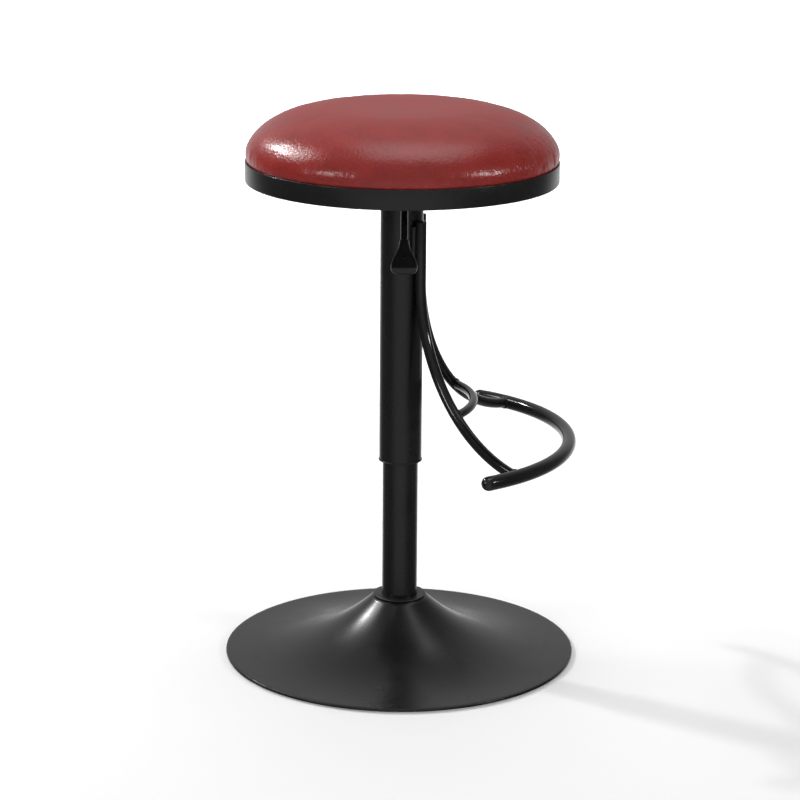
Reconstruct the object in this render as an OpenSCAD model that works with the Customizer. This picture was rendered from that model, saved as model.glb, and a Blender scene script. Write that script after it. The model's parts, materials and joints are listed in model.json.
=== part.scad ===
// Round bar stool on a gas lift: a trumpet base, a telescopic column, a padded round seat,
// a curved footrest that rises and turns with the seat, and a lever that frees the lift.
// Z is up from the floor, +X is the footrest's side and the lever points along -Y.
// The seat is drawn at its lowest.

/* [Base] */
// Radius of the round base at its rim
base_r = 200; // [170:1:240]
// Height of the top of the base cover, where the column comes out
neck_z = 68; // [58:1:85]
// Width of the flat land on top of the neck, outside its hole
neck_land = 8.2; // [6:0.1:12]
// Thickness of the bush's cap, which covers that land
bush_cap_t = 1.6; // [1:0.1:3]
// Thickness of the cover's spun sheet steel
cover_t = 2; // [1.5:0.1:2.5]
// How sharply the cover flares towards the neck
cover_flare = 2.7; // [2.2:0.1:3.4]
// Height of the cover's upright rim
rim_h = 3.2; // [3:0.1:4.5]
// Thickness of the ring that the base stands on
floor_ring_t = 1.8; // [1.2:0.1:3]
// Thickness of the ballast disc
ballast_t = 12; // [8:1:14]
// Width of the open margin between the ballast disc and the rim
ballast_margin = 50; // [40:1:60]

/* [Column] */
// Wall of the lower column
column_t = 2.5; // [1.5:0.1:3]
// Wall of the guide bush inside the lower column
bush_t = 3.5; // [2:0.1:4]
// Air gap between the lower column and the tube that slides over it
sleeve_gap = 2; // [1.5:0.1:3]
// Wall of the upper tube
sleeve_t = 2; // [1.2:0.1:2.5]
// Length of the upper tube
sleeve_len = 321.5; // [310:0.1:385]
// Radial clearance between the column and the ring that guides the upper tube on it
guide_gap = 0.08; // [0.05:0.01:0.1]
// Radius of the column's flange
flange_r = 55; // [50:1:66]
// Thickness of the column's flange
flange_t = 5; // [4:0.5:8]

/* [Gas lift] */
// How far the seat rises
lift_travel = 200; // [150:5:200]
// Outside radius of the gas cylinder
cylinder_r = 14; // [12:0.5:17]
// Wall of the gas cylinder
cylinder_t = 2.5; // [2:0.1:3]
// Radius of the piston rod
rod_r = 5; // [4:0.5:6]
// Radius of the turned-down end of the piston rod
rod_end_r = 4; // [3:0.5:4]
// Radial clearance of parts that slide or turn in each other
running_gap = 0.06; // [0.03:0.01:0.1]
// Length of the taper that holds the cylinder in its socket
taper_len = 26; // [22:1:32]
// How much the radius falls along the taper
taper_drop = 0.8; // [0.4:0.1:1]
// Number of balls in the thrust bearing
ball_count = 10; // [6:1:12]

/* [Seat] */
// Height of the underside of the seat's rim
seat_z = 552.5; // [540:0.5:665]
// Outside radius of the rim
seat_r = 174; // [145:1:210]
// Height of the rim
rim_band_h = 22; // [18:0.5:28]
// Thickness of the rim's flat bar and of its lip
rim_band_t = 2; // [1.5:0.1:3]
// Width of the lip that carries the board
lip_w = 24; // [22:0.5:30]
// Thickness of the plywood board
board_t = 12; // [10:0.5:15]
// How far the crown of the cushion stands above the rim
crown_h = 60.7; // [45:0.1:75]
// How far the cushion bulges past the rim
bulge = 1.3; // [0.5:0.1:3]
// Thickness of the cushion's cover
skin_t = 1.2; // [0.8:0.1:1.6]
// Side of the square plate under the board
plate_w = 150; // [130:1:170]
// Thickness of that plate
plate_t = 3; // [2.5:0.5:4]

/* [Footrest] */
// How far below the seat plate the middle of the foot bar lies
bar_drop = 296.7; // [280:0.1:320]
// Outside radius of the foot bar
bar_r = 8; // [7:0.5:10]
// Wall of the foot bar
bar_t = 1.5; // [1:0.1:2.5]
// Radius that the foot bar is bent to
bar_bend_r = 212; // [190:1:250]
// Length of the foot bar beyond each arm
bar_overhang = 40.2; // [30:0.1:60]
// Radius of the two arms
arm_r = 6; // [5:0.5:7]
// How far below the seat plate the arms begin
arm_top_drop = 42.7; // [36:0.1:50]
// Length of the arms' straight upper stretch
arm_straight = 69; // [58:0.5:82]
// Angle that each arm turns through on its way to the bar
arm_turn = 84.5; // [80:0.5:88]
// Angle between each arm's plane and the front
arm_splay = 51.3; // [46:0.1:56]
// Length of each arm's weld to the upper tube
weld_len = 39; // [30:1:44]
// Radius of the brace between the arms
brace_r = 5; // [4:0.5:6]
// Radius that the brace is bent to
brace_bend_r = 129.5; // [110:0.5:150]
// Height of the brace above the foot bar
brace_rise = 45; // [36:0.5:54]

/* [Lever] */
// Radius of the lever's rod
lever_r = 4; // [3:0.5:4.5]
// Sideways place of the lever
lever_x = 2.5; // [-3:0.5:3]
// Distance from the column's axis to the lever's pin
lever_arm = 34; // [32:0.5:40]
// Distance from the column's axis to the lever's bend
lever_reach = 76; // [66:1:90]
// Angle by which the lever bends down
lever_bend = 32; // [25:1:38]
// Length of the lever's rod past the bend, before its grip
lever_tail = 52; // [46:0.5:58]
// Length of the grip
grip_len = 50; // [42:1:56]
// Width of the grip at its end
grip_w = 30; // [24:1:34]
// Thickness of the grip at its end
grip_t = 7; // [6:0.5:9]
// Gap between the lever's finger and the valve button
finger_gap = 0.3; // [0.2:0.05:0.5]
// Radius of the lever's pin
pin_r = 3; // [2.5:0.25:3.5]

/* [Fasteners] */
// Radius of the flange's bolts
bolt_r = 4; // [3:0.5:5]
// Distance of the flange bolts from the flange's edge
bolt_edge = 13; // [11:0.5:16]
// Radius of the seat plate's screws
screw_r = 3; // [2.5:0.25:3.5]
// Distance of the seat plate's screws from its edges
screw_edge = 15; // [12:0.5:20]
// Number of wood screws through the rim's lip
lip_screws = 6; // [4:1:8]
// Radius of those screws
lip_screw_r = 2; // [1.5:0.1:2.5]

/* [Hidden] */
$fn = 96;

// Through cuts run past both faces by this much
over = 1;
// Pieces that only lie against each other, and bolts in their holes
fit_gap = 0.05;
bolt_gap = 0.4;

// Radii of the telescope, from the gas cylinder outwards
column_in_r = cylinder_r + bush_t;
column_r = column_in_r + column_t;
sleeve_in_r = column_r + sleeve_gap;
sleeve_r = sleeve_in_r + sleeve_t;
bore_r = cylinder_r - cylinder_t;

// Base cover
neck_hole_r = column_r + 1.8;
neck_r = neck_hole_r + neck_land;
rim_z = floor_ring_t + rim_h;
cover_rise_share = 0.06;
neck_round = 4;
rim_round = 1.2;
cover_steps = 44;
ballast_z = floor_ring_t + 1.2;
ballast_top = ballast_z + ballast_t;
ballast_hole_r = column_r + 5;

// Column foot: the thrust bearing stands on the column's floor
column_z = ballast_z + 2;
floor_t = 6;
floor_z = column_z + 9;
race_t = 2;
race_r = column_in_r - 5;
ball_r = 2;
ball_path_r = (race_r + rod_r + 1) / 2;
lower_race_z = floor_z + floor_t;
ball_z = lower_race_z + race_t + ball_r;
upper_race_z = ball_z + ball_r;
shoulder_z = upper_race_z + race_t;
bump_h = 10;
rod_bottom_z = floor_z - 6;
washer_t = 1.5;
clip_t = 1;
clip_z = floor_z - 0.1 - washer_t - clip_t;
flange_z = ballast_top;

// Gas cylinder and seat stack, from the rim's lip
cylinder_z = shoulder_z + bump_h + 0.5;
lip_top = seat_z + rim_band_t;
board_z = lip_top + skin_t;
board_top = board_z + board_t;
plate_z = board_z - plate_t;
rim_top = seat_z + rim_band_h;
lever_z = plate_z - 16.4;
button_top = lever_z - lever_r - finger_gap;
button_up = 6;
cylinder_top = button_top - button_up;
socket_top = cylinder_top - 2;
socket_z = socket_top - taper_len;
bush_lip_t = 2;
column_top = socket_z - 6 - bush_lip_t;
bush_len = 30;
sleeve_z = plate_z - sleeve_len;
guide_len = 25;
guide_lip_t = 1.5;
guide_lip_w = 0.75;

// Piston: it stops on the rod's seal when the seat is at its highest
end_plug_z = cylinder_z + 2;
end_plug_len = 18;
rod_seal_t = 4;
piston_z = end_plug_z + end_plug_len + rod_seal_t + lift_travel + 1;
piston_len = 16;
piston_groove_z = piston_z + 6;
piston_groove_h = 4;
valve_block_len = 30;
button_r = 4;
button_dome_r = 8;
button_len = 22;
button_stroke = 4;

// Cushion outline: a rounded crown over a bulge that tucks in behind the rim
rim_in_r = seat_r - rim_band_t;
tuck_gap = 0.4;
tuck_r = rim_in_r - tuck_gap;
tuck_z = rim_top + 0.5;
bulge_z = rim_top + 9;
bulge_r = seat_r + bulge;
crown_z = rim_top + crown_h;
crown_flatness = 4.37;
crown_shoulder = 1.48;
crown_steps = 40;
tuck_steps = 6;
board_r = tuck_r - skin_t - 0.2;
lip_in_r = rim_in_r - lip_w;
lip_screw_place = rim_in_r - 12;
hem_in_r = lip_in_r + 1;

// Footrest
bar_z = plate_z - bar_drop;
arm_place = sleeve_r + arm_r;
arm_side = arm_place / sqrt(2);
arm_top_z = plate_z - arm_top_drop;
arm_bend_z = arm_top_z - arm_straight;
arm_bend_r = (arm_bend_z - bar_z) / sin(arm_turn);
arm_end = arm_bend_r * (1 - cos(arm_turn));
arm_end_x = arm_side + arm_end * cos(arm_splay);
arm_end_y = arm_side + arm_end * sin(arm_splay);
bar_centre_x = arm_end_x - sqrt(bar_bend_r * bar_bend_r - arm_end_y * arm_end_y);
bar_half_angle = asin(arm_end_y / bar_bend_r) + bar_overhang / bar_bend_r * 180 / PI;
brace_z = bar_z + brace_rise;
brace_turn = asin((arm_bend_z - brace_z) / arm_bend_r);
brace_out = arm_bend_r * (1 - cos(brace_turn));
brace_x = arm_side + brace_out * cos(arm_splay);
brace_y = arm_side + brace_out * sin(arm_splay);
brace_centre_x = brace_x - sqrt(brace_bend_r * brace_bend_r - brace_y * brace_y);
brace_half_angle = asin(brace_y / brace_bend_r);
weld_r = 4.6;
weld_top_gap = 5;
cap_plug_len = 10;

// Lever
hub_r = pin_r + 3;
hub_w = 10;
ear_gap = 0.3;
ear_t = 2;
ear_w = 16;
ear_h = 24;
ear_x = hub_w / 2 + ear_gap;
finger_end = 5;
rod_in_grip = 30;
grip_neck_r = lever_r + 1.5;
slot_w = 2 * lever_r + 4;
slot_h = plate_z - (cylinder_top + 1.8);

// Fastener heads
bolt_place = flange_r - bolt_edge;
bolt_head_h = 5.3;
bolt_head_r = 1.6 * bolt_r;
bolt_washer_r = 2 * bolt_r;
bolt_washer_t = 1.6;
bolt_nut_h = 6.5;
bolt_head_top = ballast_z + 1 + bolt_head_h;
bolt_end_z = flange_z + flange_t + bolt_washer_t + bolt_nut_h + 2;
screw_place = plate_w / 2 - screw_edge;
plate_corner = 12;
plate_diagonal = sqrt(2) * (plate_w - plate_corner);
screw_head_r = 5.5;
screw_head_h = 3.2;
screw_len = plate_t + board_t - 1.5;
t_nut_barrel_r = screw_r + 1.2;
t_nut_flange_r = 9.5;
t_nut_flange_t = 1.5;
t_nut_len = 10;
lip_screw_head_r = 3.6;
lip_screw_head_h = 2;
lip_screw_len = rim_band_t + skin_t + board_t - 4;

black_coat = [0.16, 0.16, 0.16];
steel = [0.62, 0.63, 0.65];
dark_steel = [0.42, 0.43, 0.45];
black_plastic = [0.10, 0.10, 0.10];
oxblood = [0.50, 0.16, 0.16];

// ---- shared shapes ----

module ring(out_r, in_r, h, z)
    translate([0, 0, z])
        difference() {
            cylinder(r = out_r, h = h);
            hole(in_r, h, 0);
        }

// A cutter for a hole through a layer of height h whose underside is at z
module hole(r, h, z)
    translate([0, 0, z - over]) cylinder(r = r, h = h + 2 * over);

module around(count, place)
    for (i = [0 : count - 1])
        rotate([0, 0, 360 / count * i])
            translate([place, 0, 0]) children();

module plate_corners()
    for (sx = [-1, 1], sy = [-1, 1])
        translate([sx * screw_place, sy * screw_place, 0]) children();

// A stretch of round bar bent in the XY plane about the origin, on both sides of +X
module bent_bar(bend, r, half_angle)
    rotate([0, 0, -half_angle])
        rotate_extrude(angle = 2 * half_angle)
            translate([bend, 0]) circle(r = r);

// ---- base ----

function cover_u(r) = (base_r - r) / (base_r - neck_r);
function cover_top(r) = rim_z + (neck_z - rim_z)
    * ((1 - cover_rise_share) * pow(cover_u(r), cover_flare) + cover_rise_share * cover_u(r));
function cover_slope(r) = (neck_z - rim_z) / (base_r - neck_r)
    * ((1 - cover_rise_share) * cover_flare * pow(cover_u(r), cover_flare - 1) + cover_rise_share);
function cover_under(r) = cover_top(r) - cover_t * sqrt(1 + pow(cover_slope(r), 2));

neck_angle = atan(cover_slope(neck_r));
neck_tangent = neck_round * tan(neck_angle / 2);
cover_first_r = neck_r + neck_tangent * cos(neck_angle) + 0.3;
cover_last_r = base_r - rim_round;
under_first_r = neck_r - cover_t * tan(neck_angle / 2);
under_last_r = base_r - cover_t;

function cover_outside() = concat(
    [[neck_hole_r, neck_z]],
    [for (i = [0 : 6]) let (a = 90 - neck_angle * i / 6)
        [neck_r - neck_tangent + neck_round * cos(a), neck_z - neck_round + neck_round * sin(a)]],
    [for (i = [0 : cover_steps]) let (r = cover_first_r + (cover_last_r - cover_first_r) * i / cover_steps)
        [r, cover_top(r)]],
    [for (i = [1 : 4]) let (a = 90 - 90 * i / 4)
        [cover_last_r + rim_round * cos(a), cover_top(cover_last_r) - rim_round + rim_round * sin(a)]],
    [[base_r, floor_ring_t]]
);
function cover_inside() = concat(
    [[under_last_r, floor_ring_t]],
    [for (i = [0 : cover_steps]) let (r = under_last_r - (under_last_r - under_first_r) * i / cover_steps)
        [r, cover_under(r)]],
    [[neck_hole_r, neck_z - cover_t]]
);

module base_cover()
    color(black_coat)
        rotate_extrude() polygon(concat(cover_outside(), cover_inside()));

module floor_ring()
    color([0.86, 0.86, 0.84]) {
        ring(base_r - 0.8, base_r - 12, floor_ring_t, 0);
        ring(under_last_r - fit_gap, base_r - 6, 0.9, floor_ring_t);
    }

ballast_out_r = base_r - ballast_margin;
ballast_steps = 20;
module ballast_disc()
    color(dark_steel)
        difference() {
            rotate_extrude()
                polygon(concat(
                    [[ballast_out_r, ballast_z], [ballast_hole_r, ballast_z]],
                    [for (i = [0 : ballast_steps])
                        let (r = ballast_hole_r + (ballast_out_r - ballast_hole_r) * i / ballast_steps)
                        [r, min(ballast_top, cover_under(r) - 0.5)]]
                ));
            around(4, bolt_place) {
                hole(bolt_r + bolt_gap, ballast_t, ballast_z);
                hole(bolt_head_r + 1, bolt_head_top - ballast_z - over, ballast_z);
            }
        }

module column_tube()
    color(black_coat) ring(column_r, column_in_r, column_top - column_z, column_z);

module column_flange()
    color(dark_steel)
        difference() {
            ring(flange_r, column_r, flange_t, flange_z);
            around(4, bolt_place) hole(bolt_r + bolt_gap, flange_t, flange_z);
        }

module column_floor()
    color(dark_steel) ring(column_in_r, rod_end_r + running_gap, floor_t, floor_z);

module flange_bolts()
    color(steel)
        around(4, bolt_place) {
            difference() {
                translate([0, 0, bolt_head_top - bolt_head_h]) cylinder(r = bolt_head_r, h = bolt_head_h);
                translate([0, 0, bolt_head_top - bolt_head_h - over])
                    cylinder(r = 0.8 * bolt_r, h = 3 + over, $fn = 6);
            }
            translate([0, 0, bolt_head_top]) cylinder(r = bolt_r, h = bolt_end_z - bolt_head_top);
        }

module flange_washers()
    color(steel)
        around(4, bolt_place) ring(bolt_washer_r, bolt_r + 0.2, bolt_washer_t, flange_z + flange_t);

module flange_nuts()
    color(steel)
        around(4, bolt_place)
            translate([0, 0, flange_z + flange_t + bolt_washer_t])
                difference() {
                    cylinder(r = 1.85 * bolt_r, h = bolt_nut_h, $fn = 6);
                    hole(bolt_r + fit_gap, bolt_nut_h, 0);
                }

module neck_bush()
    color(black_plastic) {
        ring(neck_hole_r - fit_gap, column_r + fit_gap, cover_t + 7.6 + bush_cap_t, neck_z - cover_t - 7.6);
        ring(neck_r + 0.3, neck_hole_r - fit_gap, bush_cap_t, neck_z);
        ring(neck_hole_r + 4, neck_hole_r - fit_gap, 2, neck_z - cover_t - 2);
    }

module column_guide_bush()
    color(black_plastic) {
        ring(column_in_r, cylinder_r + running_gap, bush_len, column_top - bush_len);
        ring(column_r, cylinder_r + running_gap, bush_lip_t, column_top);
    }

// ---- thrust bearing and piston rod ----

module bearing_lower_race()
    color(steel) ring(race_r, rod_end_r + 0.5, race_t, lower_race_z);

module bearing_upper_race()
    color(steel) ring(race_r, rod_end_r + fit_gap, race_t, upper_race_z);

module bearing_cage()
    color([0.78, 0.64, 0.36])
        difference() {
            ring(race_r - 0.3, rod_end_r + 0.6, 1.6, ball_z - 0.8);
            translate([0, 0, ball_z - 2]) around(ball_count, ball_path_r) cylinder(r = ball_r + 0.1, h = 4);
        }

module bearing_balls()
    color(steel)
        translate([0, 0, ball_z]) around(ball_count, ball_path_r) sphere(r = ball_r - fit_gap);

module piston_rod()
    color(steel)
        difference() {
            union() {
                translate([0, 0, rod_bottom_z]) cylinder(r = rod_end_r, h = shoulder_z - rod_bottom_z);
                translate([0, 0, shoulder_z]) cylinder(r = rod_r, h = piston_z + piston_len - shoulder_z);
            }
            ring(rod_r + over, rod_end_r - 0.8, clip_t + 0.1, clip_z - 0.05);
        }

module rod_washer()
    color(steel) ring(2.2 * rod_end_r, rod_end_r + fit_gap, washer_t, floor_z - 0.1 - washer_t);

module rod_clip()
    color(dark_steel)
        difference() {
            ring(rod_end_r + 2.5, rod_end_r - 0.75, clip_t, clip_z);
            translate([0, -rod_end_r / 2, clip_z - over])
                cube([2 * rod_end_r + 4, rod_end_r, clip_t + 2 * over]);
        }

module bump_stop()
    color(black_plastic) ring(race_r - 1, rod_r + 0.1, bump_h, shoulder_z);

module piston()
    color(steel)
        difference() {
            ring(bore_r - running_gap, rod_r + fit_gap, piston_len, piston_z);
            ring(bore_r + over, bore_r - 2.5, piston_groove_h, piston_groove_z);
        }

module piston_seal()
    color(black_plastic)
        ring(bore_r - running_gap, bore_r - 2.45, piston_groove_h - 0.2, piston_groove_z + 0.1);

// ---- gas cylinder ----

module gas_cylinder()
    color(dark_steel)
        difference() {
            union() {
                translate([0, 0, cylinder_z]) cylinder(r = cylinder_r, h = socket_z - cylinder_z);
                translate([0, 0, socket_z])
                    cylinder(r1 = cylinder_r, r2 = cylinder_r - taper_drop, h = taper_len);
                translate([0, 0, socket_top])
                    cylinder(r = cylinder_r - taper_drop, h = cylinder_top - socket_top);
            }
            hole(bore_r, cylinder_top - cylinder_z, cylinder_z);
        }

module cylinder_end_plug()
    color(steel)
        ring(bore_r, rod_r + running_gap, end_plug_len, end_plug_z);

module rod_seal()
    color(black_plastic)
        ring(bore_r, rod_r + running_gap, rod_seal_t, end_plug_z + end_plug_len);

module valve_block()
    color(steel)
        difference() {
            translate([0, 0, cylinder_top - valve_block_len]) cylinder(r = bore_r, h = valve_block_len);
            translate([0, 0, button_top - button_len - button_stroke])
                cylinder(r = button_r + running_gap, h = button_len + button_stroke + over);
        }

// A domed pin: the lever's finger rolls over its top as it presses
module valve_button()
    color(steel)
        intersection() {
            translate([0, 0, button_top - button_len]) cylinder(r = button_r, h = button_len);
            union() {
                translate([0, 0, button_top - button_dome_r]) sphere(r = button_dome_r);
                translate([0, 0, button_top - button_len])
                    cylinder(r = button_r, h = button_len - button_dome_r);
            }
        }

// ---- upper tube and seat plate ----

module upper_tube()
    color(black_coat)
        difference() {
            ring(sleeve_r, sleeve_in_r, sleeve_len, sleeve_z);
            translate([lever_x - slot_w / 2, -sleeve_r - over, plate_z - slot_h])
                cube([slot_w, sleeve_r + over, slot_h + over]);
        }

module upper_tube_guide_ring()
    color(black_plastic) {
        ring(sleeve_in_r, column_r + guide_gap, guide_len, sleeve_z);
        ring(sleeve_r + guide_lip_w, column_r + guide_gap, guide_lip_t, sleeve_z - guide_lip_t);
    }

module taper_socket()
    color(dark_steel)
        difference() {
            translate([0, 0, socket_z]) cylinder(r = sleeve_in_r, h = taper_len);
            translate([0, 0, socket_z])
                cylinder(r1 = cylinder_r + 0.02, r2 = cylinder_r - taper_drop + 0.02, h = taper_len);
        }

module seat_plate()
    color(black_coat)
        difference() {
            intersection() {
                translate([-plate_w / 2, -plate_w / 2, plate_z]) cube([plate_w, plate_w, plate_t]);
                rotate([0, 0, 45])
                    translate([-plate_diagonal / 2, -plate_diagonal / 2, plate_z])
                        cube([plate_diagonal, plate_diagonal, plate_t]);
            }
            plate_corners() hole(screw_r + bolt_gap, plate_t, plate_z);
        }

module lever_bracket()
    color(black_coat)
        translate([lever_x, -lever_arm, 0])
            difference() {
                union() {
                    for (s = [-1, 1])
                        translate([s * (ear_x + ear_t / 2) - ear_t / 2, -ear_w / 2, plate_z - ear_h])
                            cube([ear_t, ear_w, ear_h]);
                    translate([-ear_x - ear_t, -ear_w / 2, plate_z - ear_t])
                        cube([2 * (ear_x + ear_t), ear_w, ear_t]);
                }
                translate([-ear_x - ear_t - over, 0, lever_z])
                    rotate([0, 90, 0]) cylinder(r = pin_r + fit_gap, h = 2 * (ear_x + ear_t + over));
            }

// ---- lever ----

module lever_pin()
    color(steel)
        translate([lever_x, -lever_arm, lever_z])
            rotate([0, 90, 0]) {
                translate([0, 0, -ear_x - ear_t - 1]) cylinder(r = pin_r, h = 2 * (ear_x + ear_t + 1));
                translate([0, 0, -ear_x - ear_t - 2]) cylinder(r = pin_r + 1.5, h = 2);
                translate([0, 0, ear_x + ear_t]) cylinder(r = pin_r + 1.5, h = 2);
            }

// The lever's tail, past its bend: +Z runs down the rod and -Y is its upper side
module along_tail()
    translate([lever_x, -lever_reach, lever_z]) rotate([90 + lever_bend, 0, 0]) children();

module lever_rod()
    color(black_coat)
        translate([lever_x, -lever_reach, lever_z])
            difference() {
                union() {
                    rotate([-90, 0, 0]) cylinder(r = lever_r, h = finger_end + lever_reach);
                    sphere(r = lever_r);
                    rotate([90 + lever_bend, 0, 0]) cylinder(r = lever_r, h = lever_tail + rod_in_grip);
                    translate([-hub_w / 2, lever_reach - lever_arm, 0])
                        rotate([0, 90, 0]) cylinder(r = hub_r, h = hub_w);
                }
                translate([-hub_w, lever_reach - lever_arm, 0])
                    rotate([0, 90, 0]) cylinder(r = pin_r + running_gap, h = 2 * hub_w);
            }

module lever_grip()
    color(black_plastic)
        difference() {
            along_tail()
                hull() {
                    translate([0, 0, lever_tail]) cylinder(r = grip_neck_r, h = 4, $fn = 32);
                    for (s = [-1, 1])
                        translate([s * (grip_w / 2 - 9), grip_t / 2, lever_tail + grip_len - 9])
                            rotate([90, 0, 0]) cylinder(r = 9, h = grip_t, $fn = 32);
                }
            along_tail() hole(lever_r + fit_gap, rod_in_grip, lever_tail);
        }

// ---- seat ----

// Half outline of the cushion, inset by d from its outer face
function crown_outline(d) = [for (i = [0 : crown_steps]) let (a = 90 - 90 * i / crown_steps)
    [(bulge_r - d) * pow(max(cos(a), 0), 2 / crown_flatness),
     bulge_z + (crown_z - d - bulge_z) * pow(sin(a), 2 / crown_shoulder)]];
function tuck_outline(d) = [for (i = [1 : tuck_steps]) let (a = 90 * i / tuck_steps)
    [tuck_r - d + (bulge_r - tuck_r) * cos(a), bulge_z - (bulge_z - tuck_z) * sin(a)]];

foam_gap = 0.1;
module seat_foam()
    color([0.90, 0.86, 0.70])
        rotate_extrude()
            polygon(concat(
                crown_outline(skin_t + foam_gap), tuck_outline(skin_t + foam_gap),
                [[tuck_r - skin_t - foam_gap, board_top], [0, board_top]]
            ));

module seat_cover()
    color(oxblood)
        difference() {
            rotate_extrude()
                polygon(concat(crown_outline(0), tuck_outline(0), [[tuck_r, lip_top], [0, lip_top]]));
            rotate_extrude()
                polygon(concat(
                    crown_outline(skin_t), tuck_outline(skin_t),
                    [[tuck_r - skin_t, board_z], [0, board_z]]
                ));
            hole(hem_in_r, skin_t, lip_top);
            around(lip_screws, lip_screw_place) hole(lip_screw_r + fit_gap, skin_t, lip_top);
        }

module seat_board()
    color([0.78, 0.64, 0.45])
        difference() {
            translate([0, 0, board_z]) cylinder(r = board_r, h = board_t);
            plate_corners() hole(t_nut_barrel_r + fit_gap, board_t, board_z);
            translate([0, 0, board_top - t_nut_flange_t])
                plate_corners() cylinder(r = t_nut_flange_r + fit_gap, h = t_nut_flange_t + over);
            translate([0, 0, board_z - over])
                around(lip_screws, lip_screw_place)
                    cylinder(r = lip_screw_r + fit_gap, h = over + lip_screw_len - rim_band_t - skin_t);
        }

module seat_rim()
    color(black_coat)
        difference() {
            union() {
                ring(seat_r, rim_in_r, rim_band_h, seat_z);
                ring(rim_in_r + over, lip_in_r, rim_band_t, seat_z);
            }
            around(lip_screws, lip_screw_place) hole(lip_screw_r + 0.2, rim_band_t, seat_z);
        }

module seat_plate_screws()
    color(steel)
        plate_corners() {
            difference() {
                translate([0, 0, plate_z - screw_head_h]) cylinder(r = screw_head_r, h = screw_head_h);
                translate([0, 0, plate_z - screw_head_h - over]) cylinder(r = 2, h = 2 + over, $fn = 6);
            }
            translate([0, 0, plate_z]) cylinder(r = screw_r, h = screw_len);
        }

module t_nuts()
    color(steel)
        plate_corners() {
            ring(t_nut_barrel_r, screw_r + fit_gap, t_nut_len - t_nut_flange_t, board_top - t_nut_len);
            ring(t_nut_flange_r, screw_r + fit_gap, t_nut_flange_t, board_top - t_nut_flange_t);
        }

module rim_screws()
    color(steel)
        around(lip_screws, lip_screw_place) {
            difference() {
                translate([0, 0, seat_z - lip_screw_head_h])
                    cylinder(r = lip_screw_head_r, h = lip_screw_head_h);
                for (turn = [0, 90])
                    translate([0, 0, seat_z - lip_screw_head_h]) rotate([0, 0, turn])
                        cube([4, 0.9, 2], center = true);
            }
            translate([0, 0, seat_z]) cylinder(r = lip_screw_r, h = lip_screw_len);
        }

// ---- footrest ----

module bar_solid(r, half_angle)
    translate([bar_centre_x, 0, bar_z]) bent_bar(bar_bend_r, r, half_angle);

module foot_bar()
    color(black_coat)
        difference() {
            bar_solid(bar_r, bar_half_angle);
            bar_solid(bar_r - bar_t, bar_half_angle + 2);
        }

// A domed plug in each end of the bar
module foot_bar_end_caps()
    color(black_plastic)
        translate([bar_centre_x, 0, bar_z])
            for (s = [-1, 1])
                rotate([0, 0, s * bar_half_angle])
                    translate([bar_bend_r, 0, 0])
                        rotate([-90 * s, 0, 0]) {
                            rotate_extrude() intersection() {
                                circle(r = bar_r);
                                square([bar_r, bar_r]);
                            }
                            translate([0, 0, -cap_plug_len])
                                cylinder(r = bar_r - bar_t - 0.4, h = cap_plug_len + over);
                        }

// An arm: straight down beside the upper tube, then one sweep out to the middle of the bar
module arm_solid(side, r)
    translate([arm_side, side * arm_side, arm_bend_z])
        rotate([0, 0, side * arm_splay]) {
            cylinder(r = r, h = arm_straight);
            translate([arm_bend_r, 0, 0])
                rotate([-90, 0, 180])
                    rotate_extrude(angle = arm_turn) translate([arm_bend_r, 0]) circle(r = r);
        }

// Weld metal on both sides of the line where an arm touches the upper tube
module arm_weld(side)
    rotate([0, 0, 45 * side])
        translate([0, 0, arm_top_z - weld_top_gap - weld_len])
            linear_extrude(weld_len)
                difference() {
                    translate([sleeve_r, 0]) circle(r = weld_r);
                    circle(r = sleeve_r);
                }

module footrest_arm(side)
    color(black_coat)
        difference() {
            union() {
                arm_solid(side, arm_r);
                arm_weld(side);
            }
            bar_solid(bar_r, bar_half_angle);
        }

module footrest_arm_left() footrest_arm(1);
module footrest_arm_right() footrest_arm(-1);

module footrest_brace()
    color(black_coat)
        difference() {
            translate([brace_centre_x, 0, brace_z]) bent_bar(brace_bend_r, brace_r, brace_half_angle);
            arm_solid(1, arm_r);
            arm_solid(-1, arm_r);
        }

base_cover();
floor_ring();
ballast_disc();
column_tube();
column_flange();
column_floor();
flange_bolts();
flange_washers();
flange_nuts();
neck_bush();
column_guide_bush();
bearing_lower_race();
bearing_upper_race();
bearing_cage();
bearing_balls();
piston_rod();
rod_washer();
rod_clip();
bump_stop();
piston();
piston_seal();
gas_cylinder();
cylinder_end_plug();
rod_seal();
valve_block();
valve_button();
upper_tube();
upper_tube_guide_ring();
taper_socket();
seat_plate();
lever_bracket();
lever_pin();
lever_rod();
lever_grip();
seat_board();
seat_foam();
seat_cover();
seat_rim();
seat_plate_screws();
t_nuts();
rim_screws();
foot_bar();
foot_bar_end_caps();
footrest_arm_left();
footrest_arm_right();
footrest_brace();
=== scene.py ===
import json
import math

import bmesh
import bpy
from mathutils import Matrix, Vector, noise


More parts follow.
